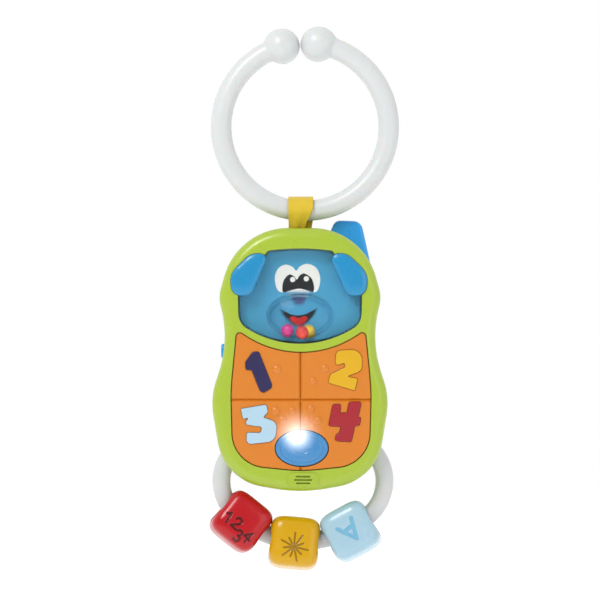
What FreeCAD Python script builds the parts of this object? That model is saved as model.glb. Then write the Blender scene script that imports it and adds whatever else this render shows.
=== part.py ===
"""Toy cell phone on a C-shaped hanging ring, with a puppy window, four keys and a bead handle.

Millimetres, +Z up, the front looks along -Y. The origin is the centre of the hanging ring.
The phone's own pieces are drawn about its middle, where x = 0 is its axis and z = 0 half its
height, and each body's Placement carries them down to where the phone hangs.
Depths are measured forwards from the parting plane of the two covers, so a depth of 13 mm
is at y = -13, and a negative depth is behind the parting plane.
"""
import FreeCAD, Part
import math
import os
from FreeCAD import Placement, Rotation, Vector

document = FreeCAD.newDocument("toy_phone")
sheet = document.addObject("Spreadsheet::Sheet", "Sizes")

DRIVING_SIZES = {
    # hanging ring
    "ring_radius": 33.5,
    "ring_tube": 4.1,
    "ball_radius": 7.1,
    "ring_turn": 3.4,
    "ball_half_angle": 12.5,
    # where the phone hangs under the ring
    "phone_axis": -2.0,
    "phone_middle": -93.0,
    # covers
    "front_depth": 13.0,
    "rear_depth": 15.0,
    "wall": 2.2,
    "front_edge": 4.2,
    "rear_edge": 5.0,
    "fit_gap": 0.1,
    "keypad_gap": 0.45,
    "boss_radius": 3.8,
    "boss_top": 5.5,
    "pilot_radius": 1.15,
    "screw_head": 2.3,
    "screw_shank": 1.1,
    "screw_seat": -8.0,
    "screw_reach": 11.5,
    # window, face plate and rattle balls
    "window_back": 10.6,
    "window_plate": 1.4,
    "window_lip": 1.2,
    "lip_width": 0.9,
    "dome_front": 15.8,
    "dome_wall": 1.2,
    "face_front": 7.4,
    "face_plate_wall": 1.4,
    "pocket_floor": 4.4,
    "rattle_ball": 2.5,
    "rattle_swing": 16.1,
    # ears, antenna
    "ear_back": 9.4,
    "ear_front": 13.9,
    "ear_flange": 0.4,
    "antenna_near": -3.5,
    "antenna_thickness": 7.5,
    # keys
    "key_front": 12.8,
    "key_back": 9.3,
    "key_lip_front": 10.5,
    "seam": 0.14,
    "groove": 0.7,
    "digit_sink": 1.0,
    "digit_rise": 0.5,
    "number_gap": 0.18,
    "stem_end": 7.6,
    "stem_radius": 2.0,
    "bump_radius": 2.6,
    "bump_rise": 0.85,
    # light button
    "button_long": 10.4,
    "button_short": 7.1,
    "button_front": 13.6,
    "button_lip_front": 9.0,
    "button_lip_back": 8.2,
    # electronics
    "membrane_front": 7.0,
    "membrane_back": 5.7,
    "board_front": 5.6,
    "board_thickness": 1.6,
    "cell_radius": 5.2,
    "cell_length": 43.5,
    "cell_depth": -7.0,
    "speaker_radius": 9.0,
    "speaker_thickness": 5.4,
    # battery compartment
    "bay_width": 24.0,
    "bay_height": 51.0,
    "bay_middle": 8.0,
    "bay_floor": -1.5,
    "bay_wall": 1.4,
    "door_width": 30.0,
    "door_height": 62.0,
    "door_middle": 5.5,
    "door_thickness": 2.0,
    # bead handle
    "handle_tube": 3.6,
    "handle_low_radius": 38.8,
    "handle_low_angle": 44.6,
    "handle_side_radius": 18.0,
    "handle_rise_angle": 58.0,
    "handle_axis": 1.2,
    "handle_low_centre": -33.8,
    "bead_size": 19.8,
    "bead_round": 5.0,
    "bead_hole": 6.25,
    "bead_flare": 7.9,
    "bead_flare_depth": 3.2,
    "bead_orbit": 39.8,
    "bead_roll": 14.0,
    # strap and its pin
    "strap_width": 9.6,
    "strap_thickness": 1.0,
    "strap_pin_radius": 1.5,
    "strap_pin_length": 16.0,
    "strap_pin_height": 47.0,
    # side button
    "side_button_height": 6.0,
    "side_button_width": 5.0,
    "side_button_z": 3.2,
    "side_button_depth": -4.6,
    "side_button_rise": 1.3,
}

for row, (alias, value) in enumerate(DRIVING_SIZES.items(), start=1):
    sheet.set("A%d" % row, alias)
    sheet.set("B%d" % row, str(value))
    sheet.setAlias("B%d" % row, alias)
document.recompute()

# Outlines on the phone's front: corner x, corner z and the radius that rounds it.
BODY_HALF = [
    (24.3, 53.2, 26.2), (32.3, 24.9, 13.0), (28.0, 8.0, 45.0),
    (35.4, -14.9, 28.0), (30.1, -47.3, 21.3),
]
BODY_TOP = (0.0, 52.1, 62.0)
BODY_FOOT = (0.0, -52.6, 57.5)
WINDOW_HALF = [(12.6, 43.1, 1.0), (24.4, 28.0, 3.0), (24.1, 14.4, 7.0)]
WINDOW_TOP = (0.0, 44.6, 90.0)
WINDOW_FOOT = (0.0, 1.2, 39.0)
KEYPAD_HALF = [(25.1, 11.75, 1.3), (27.4, -12.0, 80.0), (26.6, -40.6, 13.5)]
KEYPAD_TOP = (0.0, -5.8, 40.0)
KEYPAD_FOOT = (0.0, -43.3, 60.0)
KEYPAD_AXIS = 0.4
EAR = [
    (11.9, 41.7, 2.3), (18.7, 42.4, 6.8), (27.3, 34.1, 7.7),
    (26.3, 25.3, 4.0), (18.8, 25.6, 3.8), (15.3, 33.5, 11.0),
]
EAR_AXIS = -0.4
ANTENNA = [(9.5, 45.5, 1.0), (14.2, 55.9, 3.2), (24.6, 55.5, 4.0), (28.4, 38.4, 1.5), (24.5, 35.5, 1.0)]
MUZZLE_MIDDLE = (0.0, 17.5)
MUZZLE_LONG = 14.4
MUZZLE_SHORT = 10.3
BUTTON_MIDDLE = (0.7, -34.5)
GROOVE_X = 0.2
GROOVE_Z = -15.5

DIGITS = {
    1: [
        (-16.2, 3.5, 1.1), (-10.7, -10.4, 1.6), (-15.2, -13.2, 1.6), (-19.0, -3.7, 0.5),
        (-21.4, -3.7, 0.9), (-21.4, -0.6, 1.3), (-18.6, 3.3, 0.9),
    ],
    2: [
        (13.9, -0.8, 0.5), (14.2, 3.9, 2.2), (24.4, 4.4, 4.0), (24.3, -4.0, 2.6), (18.3, -6.2, 0.3),
        (22.7, -7.2, 0.4), (21.5, -11.8, 0.5), (11.1, -8.7, 0.8), (12.0, -5.5, 0.8), (17.8, -2.6, 0.5),
        (17.5, -0.9, 0.4), (14.6, -1.8, 0.4),
    ],
    3: [
        (-23.3, -19.0, 0.58), (-13.2, -17.3, 0.96), (-12.6, -20.2, 0.87), (-14.5, -22.3, 0.39),
        (-9.1, -24.2, 2.9), (-9.6, -31.7, 3.86), (-21.1, -33.0, 1.74), (-20.9, -28.3, 0.77),
        (-15.5, -28.4, 0.77), (-14.8, -26.1, 0.77), (-21.2, -25.2, 0.77), (-21.1, -23.7, 0.58),
        (-19.1, -21.8, 0.39), (-22.3, -23.1, 0.58),
    ],
    4: [
        (12.9, -17.2, 0.8), (16.2, -17.2, 0.8), (15.6, -20.6, 0.5), (18.4, -20.6, 0.5),
        (19.4, -16.3, 0.8), (24.2, -16.2, 0.9), (22.8, -22.4, 0.3), (24.0, -22.4, 0.5),
        (23.4, -25.4, 0.6), (21.5, -25.7, 0.4), (20.2, -31.9, 0.9), (13.6, -31.6, 0.9),
        (14.3, -29.0, 0.6), (15.6, -28.4, 0.4), (16.0, -25.9, 0.3), (11.2, -25.7, 0.7),
    ],
}
BUMPS = {
    1: [(-9.1, -3.5, 1.0)],
    2: [(9.8, -3.2, 0.85), (5.2, -8.1, 0.8)],
    3: [(-9.6, -19.9, 1.0), (-3.0, -19.8, 0.85), (-6.8, -23.5, 1.0)],
    4: [(4.3, -19.0, 0.85), (7.1, -23.6, 0.85), (2.6, -23.3, 0.7), (5.0, -26.1, 0.6)],
}
KEY_SIDE = {1: (-1, 1), 2: (1, 1), 3: (-1, -1), 4: (1, -1)}
STEMS = {1: (-13.5, -4.0), 2: (13.5, -4.0), 3: (-15.5, -25.0), 4: (15.5, -25.0)}
BOSSES = [(-24.4, 13.0), (24.4, 13.0), (-29.0, -20.0), (29.0, -20.0)]
BEAD_ANGLES = {"bead_red": -38.6, "bead_yellow": -5.1, "bead_blue": 28.6}
RATTLE_BALLS = {
    "rattle_ball_pink": (-17.8, 9.5), "rattle_ball_red": (3.1, 11.9), "rattle_ball_yellow": (12.6, 7.2),
}
SPEAKER_MIDDLE = (0.0, -37.0)
DOOR_SCREW_Z = -21.8
CELL_X = 6.0


# ---------------------------------------------------------------- reading and drawing helpers

def size(name):
    """Return a driving size in millimetres."""
    return float(sheet.get(name))


def mirrored(top, half, foot):
    """Return the closed corner list whose right half is given, from its top corner round."""
    left = [(-x, z, radius) for x, z, radius in reversed(half)]
    return [top] + list(half) + [foot] + left


def shifted(corners, dx=0.0, dz=0.0):
    """Return the corners moved by dx and dz."""
    return [(x + dx, z + dz, radius) for x, z, radius in corners]


def turn_sign(before, corner, after):
    """Return +1 where the outline turns left at the corner, and -1 where it turns right."""
    cross = (corner[0] - before[0]) * (after[1] - corner[1]) - (corner[1] - before[1]) * (after[0] - corner[0])
    return 1.0 if cross > 0 else -1.0


def offset_corners(corners, distance):
    """Return the corners of the outline that runs `distance` outside the given one."""
    count = len(corners)
    area = sum(
        corners[i - 1][0] * corners[i][1] - corners[i][0] * corners[i - 1][1] for i in range(count)
    )
    winding = 1.0 if area > 0 else -1.0
    moved = []
    for i in range(count):
        before, corner, after = corners[i - 1], corners[i], corners[(i + 1) % count]
        first = Vector(corner[0] - before[0], corner[1] - before[1], 0).normalize()
        second = Vector(after[0] - corner[0], after[1] - corner[1], 0).normalize()
        first_out = Vector(first.y, -first.x, 0) * winding
        second_out = Vector(second.y, -second.x, 0) * winding
        spread = (first_out + second_out) * (1.0 / (1.0 + first_out.dot(second_out)))
        bulges = turn_sign(before, corner, after) * winding > 0
        radius = corner[2] + distance if bulges else corner[2] - distance
        moved.append((corner[0] + spread.x * distance, corner[1] + spread.y * distance, max(radius, 0.1)))
    return moved


def rounded(corners):
    """Return the lines and arcs of a closed outline with each corner rounded to its radius."""
    count = len(corners)
    arcs = []
    for i in range(count):
        corner = Vector(corners[i][0], corners[i][1], 0)
        back = (Vector(corners[i - 1][0], corners[i - 1][1], 0) - corner).normalize()
        ahead_corner = corners[(i + 1) % count]
        ahead = (Vector(ahead_corner[0], ahead_corner[1], 0) - corner).normalize()
        half_angle = back.getAngle(ahead) / 2
        reach = corners[i][2] / math.tan(half_angle)
        to_centre = (back + ahead).normalize() * (corners[i][2] / math.sin(half_angle))
        middle = corner + to_centre - (back + ahead).normalize() * corners[i][2]
        arcs.append((corner + back * reach, middle, corner + ahead * reach))
    curves = []
    for i in range(count):
        start, middle, end = arcs[i]
        curves.append(Part.Arc(start, middle, end))
        following = arcs[(i + 1) % count][0]
        if (following - end).Length > 1e-4:
            curves.append(Part.LineSegment(end, following))
    return curves


def outline(corners, distance=0.0):
    """Return the curves of a rounded outline, run `distance` outside its corners."""
    return rounded(offset_corners(corners, distance))


def circle(x, z, radius):
    """Return a circle in a sketch's own plane."""
    return [Part.Circle(Vector(x, z, 0), Vector(0, 0, 1), radius)]


def ellipse(x, z, long_half, short_half):
    """Return an ellipse with its long axis across."""
    return [Part.Ellipse(Vector(x + long_half, z, 0), Vector(x, z + short_half, 0), Vector(x, z, 0))]


def box_corners(x, z, width, height, radius):
    """Return the four corners of a rounded rectangle about (x, z)."""
    dx, dz = width / 2, height / 2
    return [
        (x - dx, z - dz, radius), (x + dx, z - dz, radius),
        (x + dx, z + dz, radius), (x - dx, z + dz, radius),
    ]


def rectangle(x, z, width, height):
    """Return the four lines of a sharp rectangle about (x, z)."""
    points = [Vector(px, pz, 0) for px, pz, _ in box_corners(x, z, width, height, 0)]
    return [Part.LineSegment(points[i], points[(i + 1) % 4]) for i in range(4)]


def place_on_phone(piece):
    """Put an object drawn about the phone's middle where the phone hangs."""
    piece.setExpression("Placement.Base.x", "Sizes.phone_axis")
    piece.setExpression("Placement.Base.z", "Sizes.phone_middle")


def new_body(label):
    """Start a PartDesign body on the phone."""
    body = document.addObject("PartDesign::Body", label)
    body.Label = label
    place_on_phone(body)
    return body


def plane_sketch(body, role, name, curves, offset):
    """Draw curves on one of the body's own planes, `offset` (an expression) along its normal."""
    sketch = body.newObject("Sketcher::SketchObject", name)
    plane = next(item for item in body.Origin.OriginFeatures if item.Role == role)
    sketch.AttachmentSupport = [(plane, "")]
    sketch.MapMode = "FlatFace"
    sketch.setExpression("AttachmentOffset.Base.z", offset)
    sketch.addGeometry(curves, False)
    return sketch


def slab(body, name, curves, back, front):
    """Add material between two depths in front of the parting plane."""
    sketch = plane_sketch(body, "XZ_Plane", name + "_outline", curves, back)
    pad = body.newObject("PartDesign::Pad", name)
    pad.Profile = sketch
    pad.setExpression("Length", "(%s) - (%s)" % (front, back))
    document.recompute()
    return pad


def cut(body, name, curves, back, front):
    """Take material away between two depths in front of the parting plane."""
    before = body.Shape.Volume
    sketch = plane_sketch(body, "XZ_Plane", name + "_outline", curves, back)
    pocket = body.newObject("PartDesign::Pocket", name)
    pocket.Profile = sketch
    pocket.Reversed = True
    pocket.setExpression("Length", "(%s) - (%s)" % (front, back))
    document.recompute()
    if body.Shape.Volume > before - 1e-6:
        raise RuntimeError("%s of %s cuts nothing" % (name, body.Label))
    return pocket


def round_edges(body, name, radius, chosen):
    """Round the body's edges for which `chosen` is true, to a radius given as an expression."""
    base = body.Tip
    names = ["Edge%d" % (i + 1) for i, edge in enumerate(base.Shape.Edges) if chosen(edge)]
    if not names:
        raise RuntimeError("%s of %s finds no edge" % (name, body.Label))
    fillet = body.newObject("PartDesign::Fillet", name)
    fillet.Base = (base, names)
    fillet.setExpression("Radius", radius)
    document.recompute()
    return fillet


def bevel_edges(body, name, width, chosen):
    """Chamfer the body's edges for which `chosen` is true, to a width given as an expression."""
    base = body.Tip
    names = ["Edge%d" % (i + 1) for i, edge in enumerate(base.Shape.Edges) if chosen(edge)]
    if not names:
        raise RuntimeError("%s of %s finds no edge" % (name, body.Label))
    chamfer = body.newObject("PartDesign::Chamfer", name)
    chamfer.Base = (base, names)
    chamfer.setExpression("Size", width)
    document.recompute()
    return chamfer


def at_depth(depth):
    """Return a test for edges that lie wholly at one depth."""
    def test(edge):
        box = edge.BoundBox
        return abs(box.YMin + depth) < 1e-4 and abs(box.YMax + depth) < 1e-4
    return test


def lump(label, kind, **values):
    """Add a Part primitive whose sizes are expressions."""
    piece = document.addObject(kind, label)
    for name, expression in values.items():
        piece.setExpression(name, expression)
    return piece


def joined(label, pieces):
    """Fuse primitives into one labelled piece."""
    fusion = document.addObject("Part::MultiFuse", label)
    fusion.Shapes = pieces
    fusion.Label = label
    document.recompute()
    return fusion


def gathered(label, pieces):
    """Group separate solids of one kind under one label."""
    group = document.addObject("Part::Compound", label)
    group.Links = pieces
    group.Label = label
    document.recompute()
    return group


BODY = mirrored(BODY_TOP, BODY_HALF, BODY_FOOT)
WINDOW = mirrored(WINDOW_TOP, WINDOW_HALF, WINDOW_FOOT)
KEYPAD = shifted(mirrored(KEYPAD_TOP, KEYPAD_HALF, KEYPAD_FOOT), dx=KEYPAD_AXIS)
EARS = {
    "ear_right": shifted(EAR, dx=EAR_AXIS),
    "ear_left": shifted([(-x, z, radius) for x, z, radius in reversed(EAR)], dx=EAR_AXIS),
}


# ---------------------------------------------------------------- hanging ring and strap

def make_hang_ring():
    """C-shaped ring with a ball on each end, moulded in one piece, its gap just left of the top."""
    arc = lump("hang_ring_arc", "Part::Torus", Radius1="Sizes.ring_radius", Radius2="Sizes.ring_tube")
    arc.setExpression("Angle3", "360 - 2 * Sizes.ball_half_angle")
    first = 90.0 + size("ring_turn") + size("ball_half_angle")
    arc.Placement = Placement(Vector(0, 0, 0), Rotation(Vector(1, 0, 0), 90) * Rotation(Vector(0, 0, 1), first))
    balls = []
    for side in (-1, 1):
        ball = lump("hang_ring_ball_%s" % ("left" if side > 0 else "right"), "Part::Sphere",
                    Radius="Sizes.ball_radius")
        angle = "90 + Sizes.ring_turn + %d * Sizes.ball_half_angle" % side
        ball.setExpression("Placement.Base.x", "Sizes.ring_radius * cos(%s)" % angle)
        ball.setExpression("Placement.Base.z", "Sizes.ring_radius * sin(%s)" % angle)
        balls.append(ball)
    return joined("hang_ring", [arc] + balls)


def make_strap():
    """Woven ribbon looped round the ring's tube above and the pin in the phone's mouth below."""
    thickness = size("strap_thickness")
    loop_z = -size("ring_radius") - size("phone_middle") + 0.2
    pin_z = size("strap_pin_height")
    loop_radius = size("ring_tube") + 0.65
    pin_radius = size("strap_pin_radius") + 0.1
    lean = math.asin((loop_radius - pin_radius) / (loop_z - pin_z))

    def belt(extra):
        """Return the closed line round the tube and the pin, `extra` outside the inner one."""
        top, foot = loop_radius + extra, pin_radius + extra
        upper = [Vector(side * top * math.cos(lean), loop_z - top * math.sin(lean), 0) for side in (-1, 1)]
        lower = [Vector(side * foot * math.cos(lean), pin_z - foot * math.sin(lean), 0) for side in (-1, 1)]
        return [
            Part.Arc(upper[0], Vector(0, loop_z + top, 0), upper[1]),
            Part.LineSegment(upper[1], lower[1]),
            Part.Arc(lower[1], Vector(0, pin_z - foot, 0), lower[0]),
            Part.LineSegment(lower[0], upper[0]),
        ]

    body = new_body("strap")
    sketch = plane_sketch(body, "YZ_Plane", "strap_side", belt(thickness) + belt(0.0), "0")
    pad = body.newObject("PartDesign::Pad", "strap_weave")
    pad.Profile = sketch
    pad.Midplane = True
    pad.setExpression("Length", "Sizes.strap_width")
    document.recompute()
    return body


def make_strap_pin():
    """Steel pin across the mouth of the phone that the ribbon's lower loop goes round."""
    pin = lump("strap_pin", "Part::Cylinder", Radius="Sizes.strap_pin_radius", Height="Sizes.strap_pin_length")
    pin.Label = "strap_pin"
    pin.Placement = Placement(Vector(0, 0, 0), Rotation(Vector(0, 1, 0), 90))
    pin.setExpression("Placement.Base.x", "Sizes.phone_axis - Sizes.strap_pin_length / 2")
    pin.setExpression("Placement.Base.z", "Sizes.phone_middle + Sizes.strap_pin_height")
    return pin


# ---------------------------------------------------------------- covers

def handle_path():
    """Return the handle's centre line from its left end round the bottom to its right end.

    The low arc is wide and the side arcs are tight, so the handle is an oval whose ends turn in
    towards the phone; a short straight foot carries each end on into the covers.
    """
    low = size("handle_low_radius")
    side = size("handle_side_radius")
    angle = math.radians(size("handle_low_angle"))
    rise = math.radians(size("handle_rise_angle"))
    axis = size("handle_axis")
    low_z = size("handle_low_centre")
    reach = low - side
    side_x = reach * math.sin(angle)
    side_z = low_z - reach * math.cos(angle)
    foot = 5.0

    def on_low(turn):
        return Vector(axis + low * math.sin(turn), low_z - low * math.cos(turn), 0)

    def on_side(sign, turn):
        return Vector(axis + sign * (side_x + side * math.cos(turn)), side_z + side * math.sin(turn), 0)

    def foot_end(sign):
        along = Vector(-sign * math.sin(rise), math.cos(rise), 0)
        return on_side(sign, rise) + along * foot

    junction = angle - math.pi / 2
    middle = (junction + rise) / 2
    return [
        Part.LineSegment(foot_end(-1), on_side(-1, rise)),
        Part.Arc(on_side(-1, rise), on_side(-1, middle), on_side(-1, junction)),
        Part.Arc(on_low(-angle), on_low(0), on_low(angle)),
        Part.Arc(on_side(1, junction), on_side(1, middle), on_side(1, rise)),
        Part.LineSegment(on_side(1, rise), foot_end(1)),
    ]


def handle_pipe(body, name, kind, radius):
    """Run a round section along the handle's centre line, as material or as a cut."""
    spine = plane_sketch(body, "XZ_Plane", name + "_path", handle_path(), "0")
    ends = handle_path()
    section = body.newObject("Sketcher::SketchObject", name + "_section")
    start = ends[0].StartPoint
    along = (ends[0].EndPoint - start).normalize()
    section.addGeometry(circle(0, 0, radius), False)
    section.Placement = Placement(
        Vector(start.x, 0, start.y), Rotation(Vector(0, 0, 1), Vector(along.x, 0, along.y)))
    pipe = body.newObject(kind, name)
    pipe.Profile = section
    pipe.Spine = (spine, [""])
    pipe.Mode = "Frenet"
    document.recompute()
    return pipe


def mouth_cut(body):
    """Cut the half of the strap's mouth and its pin's seat that falls in this cover."""
    pin = size("strap_pin_radius") + size("fit_gap")
    long_half = size("strap_pin_length") / 2 + 0.1
    sketch = plane_sketch(body, "YZ_Plane", "pin_seat_outline", circle(0, size("strap_pin_height"), pin), "0")
    seat = body.newObject("PartDesign::Pocket", "pin_seat")
    seat.Profile = sketch
    seat.Midplane = True
    seat.Length = 2 * long_half
    document.recompute()
    mouth = rectangle(0, 52.0, 8.4, 14.0)
    sketch = plane_sketch(body, "YZ_Plane", "mouth_outline", mouth, "0")
    slot = body.newObject("PartDesign::Pocket", "mouth")
    slot.Profile = sketch
    slot.Midplane = True
    slot.setExpression("Length", "Sizes.strap_width + 0.8")
    document.recompute()


def make_front_cover():
    """Green front shell with the window's and the keypad's openings and the screw bosses."""
    body = new_body("front_cover")
    slab(body, "shell", outline(BODY), "0", "Sizes.front_depth")
    round_edges(body, "front_round", "Sizes.front_edge", at_depth(size("front_depth")))
    cut(body, "hollow", outline(BODY, -size("wall")), "0", "Sizes.front_depth - Sizes.wall")
    for index, (x, z) in enumerate(BOSSES):
        slab(body, "boss_%d" % index, circle(x, z, size("boss_radius")), "0", "Sizes.boss_top")
        cut(body, "pilot_%d" % index, circle(x, z, size("pilot_radius")), "0", "Sizes.boss_top - 1.5")
    for side in (-1, 1):
        block = rectangle(side * 7.0, 48.6, 3.2, 5.2)
        slab(body, "pin_block_%s" % ("right" if side > 0 else "left"), block, "0", "6")
    cut(body, "window_opening", outline(WINDOW, size("fit_gap")), "4", "Sizes.front_depth + 1")
    cut(body, "keypad_opening", outline(KEYPAD, size("keypad_gap")), "4", "Sizes.front_depth + 1")
    for name, corners in EARS.items():
        cut(body, name + "_opening", outline(corners, size("fit_gap")), "4", "Sizes.front_depth + 1")
    plate = outline(box_corners(1.2, -46.9, 12.0, 5.4, 2.0))
    slab(body, "mouthpiece", plate, "Sizes.front_depth - 0.5", "Sizes.front_depth + 0.4")
    for index in range(3):
        slot = outline(box_corners(1.2, -45.6 - 1.3 * index, 7.0 - 1.4 * abs(index - 1), 0.7, 0.3))
        cut(body, "mouthpiece_slot_%d" % index, slot, "Sizes.front_depth - 0.6", "Sizes.front_depth + 1")
    mouth_cut(body)
    handle_pipe(body, "handle_seat", "PartDesign::SubtractivePipe", size("handle_tube") + size("fit_gap"))
    return body


def make_rear_cover():
    """Green rear shell with the battery bay, speaker grille, screw wells and flat back."""
    body = new_body("rear_cover")
    slab(body, "shell", outline(BODY), "-Sizes.rear_depth", "0")
    round_edges(body, "rear_round", "Sizes.rear_edge", at_depth(-size("rear_depth")))
    cut(body, "hollow", outline(BODY, -size("wall")), "-(Sizes.rear_depth - Sizes.wall)", "0")
    bay_x = size("bay_width") + 2 * size("bay_wall")
    bay_z = size("bay_height") + 2 * size("bay_wall")
    middle = size("bay_middle")
    tray = outline(box_corners(0, middle, bay_x, bay_z, 2.0))
    slab(body, "tray", tray, "-(Sizes.rear_depth - 1)", "Sizes.bay_floor + 1.2")
    for index, (x, z) in enumerate(BOSSES):
        slab(body, "boss_%d" % index, circle(x, z, size("boss_radius")), "-(Sizes.rear_depth - 1)", "-0.1")
    door_boss = circle(0, DOOR_SCREW_Z, 3.0)
    slab(body, "door_boss", door_boss, "-(Sizes.rear_depth - 1)", "-5")
    door = outline(box_corners(0, size("door_middle"), size("door_width"), size("door_height"), 3.0), 0.15)
    cut(body, "door_seat", door, "-(Sizes.rear_depth + 1)", "-(Sizes.rear_depth - Sizes.door_thickness)")
    bay = outline(box_corners(0, middle, size("bay_width"), size("bay_height"), 1.0))
    cut(body, "bay", bay, "-(Sizes.rear_depth + 1)", "Sizes.bay_floor")
    cut(body, "door_pilot", circle(0, DOOR_SCREW_Z, size("pilot_radius")), "-(Sizes.rear_depth + 1)", "-6")
    for index, (x, z) in enumerate(BOSSES):
        head = circle(x, z, size("screw_head") + 0.2)
        cut(body, "well_%d" % index, head, "-(Sizes.rear_depth + 1)", "Sizes.screw_seat")
        cut(body, "shank_hole_%d" % index, circle(x, z, size("screw_shank") + 0.15), "-10", "0")
    speaker_x, speaker_z = SPEAKER_MIDDLE
    holes = circle(speaker_x, speaker_z, 0.9)
    for ring, count in ((3.2, 6), (6.4, 12)):
        for index in range(count):
            turn = 2 * math.pi * index / count
            holes += circle(speaker_x + ring * math.cos(turn), speaker_z + ring * math.sin(turn), 0.9)
    cut(body, "grille", holes, "-(Sizes.rear_depth + 1)", "-(Sizes.rear_depth - Sizes.wall - 1)")
    antenna = outline(ANTENNA, size("fit_gap"))
    cut(body, "antenna_seat", antenna, "Sizes.antenna_near - Sizes.antenna_thickness - 0.1",
        "Sizes.antenna_near + 0.1")
    button_z = size("side_button_z")
    opening = outline(box_corners(
        -size("side_button_depth"), button_z, size("side_button_width"), size("side_button_height"), 2.2), 0.25)
    sketch = plane_sketch(body, "YZ_Plane", "side_opening_outline", opening, "-32")
    hole = body.newObject("PartDesign::Pocket", "side_opening")
    hole.Profile = sketch
    hole.Reversed = True
    hole.Length = 5.0
    document.recompute()
    for side in (-1, 1):
        block = rectangle(side * 7.0, 48.6, 3.2, 5.2)
        slab(body, "pin_block_%s" % ("right" if side > 0 else "left"), block, "-6", "0")
    mouth_cut(body)
    handle_pipe(body, "handle_seat", "PartDesign::SubtractivePipe", size("handle_tube") + size("fit_gap"))
    return body


def make_battery_door():
    """Flat door over the batteries, flush with the back, with a countersunk screw hole."""
    body = new_body("battery_door")
    plan = outline(box_corners(0, size("door_middle"), size("door_width"), size("door_height"), 3.0))
    slab(body, "door_plate", plan, "-Sizes.rear_depth", "-(Sizes.rear_depth - Sizes.door_thickness + 0.1)")
    cut(body, "screw_hole", circle(0, DOOR_SCREW_Z, 1.4), "-(Sizes.rear_depth + 1)", "-10")
    cut(body, "screw_sink", circle(0, DOOR_SCREW_Z, 2.4), "-(Sizes.rear_depth + 1)", "-(Sizes.rear_depth - 1)")
    for index in range(5):
        ridge = outline(box_corners(0, 30.5 - 1.8 * index, 12.0 - 1.6 * index, 0.8, 0.35))
        cut(body, "ridge_%d" % index, ridge, "-(Sizes.rear_depth + 1)", "-(Sizes.rear_depth - 0.5)")
    return body


def screw(name, x, z, seat, reach, head_height):
    """Return one cross-head screw driven in from the back, head at `seat`."""
    head = lump(name + "_head", "Part::Cylinder", Radius="Sizes.screw_head", Height=str(head_height))
    shank = lump(name + "_shank", "Part::Cylinder", Radius="Sizes.screw_shank", Height=str(reach))
    first = lump(name + "_slot_a", "Part::Box", Length="3", Width="0.6", Height="1")
    second = lump(name + "_slot_b", "Part::Box", Length="0.6", Width="3", Height="1")
    first.Placement.Base = Vector(-1.5, -0.3, -0.01)
    second.Placement.Base = Vector(-0.3, -1.5, -0.01)
    solid = joined(name + "_blank", [head, shank])
    slots = joined(name + "_slots", [first, second])
    finished = document.addObject("Part::Cut", name)
    finished.Base = solid
    finished.Tool = slots
    middle = Vector(size("phone_axis") + x, -seat + head_height, size("phone_middle") + z)
    finished.Placement = Placement(middle, Rotation(Vector(1, 0, 0), 90))
    document.recompute()
    return finished


def make_shell_screws():
    """Four self-tapping screws that hold the covers together, driven in from the back."""
    reach = size("screw_reach")
    seat = size("screw_seat")
    screws = [screw("shell_screw_%d" % index, x, z, seat, reach, 1.8) for index, (x, z) in enumerate(BOSSES)]
    return gathered("shell_screws", screws)


def make_door_screw():
    """The one screw that keeps the battery door shut."""
    fitted = screw("door_screw", 0, DOOR_SCREW_Z, -(size("rear_depth") - 1) + 0.0, 7.5, 0.9)
    fitted.Label = "door_screw"
    return fitted


# ---------------------------------------------------------------- puppy window

def make_window():
    """Clear window with a lip behind the cover and a hollow muzzle dome for the rattle balls."""
    body = new_body("window")
    slab(body, "lip", outline(WINDOW, size("lip_width")), "Sizes.window_back - Sizes.window_lip",
         "Sizes.window_back")
    slab(body, "plate", outline(WINDOW), "Sizes.window_back - Sizes.window_lip",
         "Sizes.window_back + Sizes.window_plate")
    x, z = MUZZLE_MIDDLE
    dome = ellipse(x, z, MUZZLE_LONG, MUZZLE_SHORT)
    slab(body, "dome", dome, "Sizes.window_back", "Sizes.dome_front")
    round_edges(body, "dome_round", "2.6", at_depth(size("dome_front")))
    inner = ellipse(x, z, MUZZLE_LONG - size("dome_wall"), MUZZLE_SHORT - size("dome_wall"))
    cut(body, "dome_hollow", inner, "Sizes.window_back - Sizes.window_lip - 1",
        "Sizes.dome_front - Sizes.dome_wall")
    for name, corners in EARS.items():
        cut(body, name + "_clearance", outline(corners, 2 * size("fit_gap")), "8", "14")
        cut(body, name + "_flange_clearance", outline(corners, size("ear_flange") + size("fit_gap")),
            "8", "Sizes.window_back + 0.1")
    return body


def make_face_plate():
    """Blue puppy face behind the window, with the shallow muzzle bowl the balls roll in."""
    body = new_body("face_plate")
    slab(body, "plate", outline(WINDOW, -0.6), "Sizes.face_front - Sizes.face_plate_wall", "Sizes.face_front")
    x, z = MUZZLE_MIDDLE
    bowl = ellipse(x, z, MUZZLE_LONG, MUZZLE_SHORT)
    slab(body, "bowl", bowl, "Sizes.pocket_floor - Sizes.face_plate_wall", "Sizes.face_front")
    hollow = ellipse(x, z, MUZZLE_LONG - size("dome_wall"), MUZZLE_SHORT - size("dome_wall"))
    cut(body, "bowl_hollow", hollow, "Sizes.pocket_floor", "Sizes.face_front + 1")
    return body


def make_ear(name, corners):
    """Glossy ear pushed into its opening from behind, held by a flange."""
    body = new_body(name)
    slab(body, "flange", outline(corners, size("ear_flange")), "Sizes.ear_back", "Sizes.window_back - 0.1")
    slab(body, "cap", outline(corners), "Sizes.ear_back", "Sizes.ear_front")
    round_edges(body, "cap_round", "1.4", at_depth(size("ear_front")))
    return body


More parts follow.
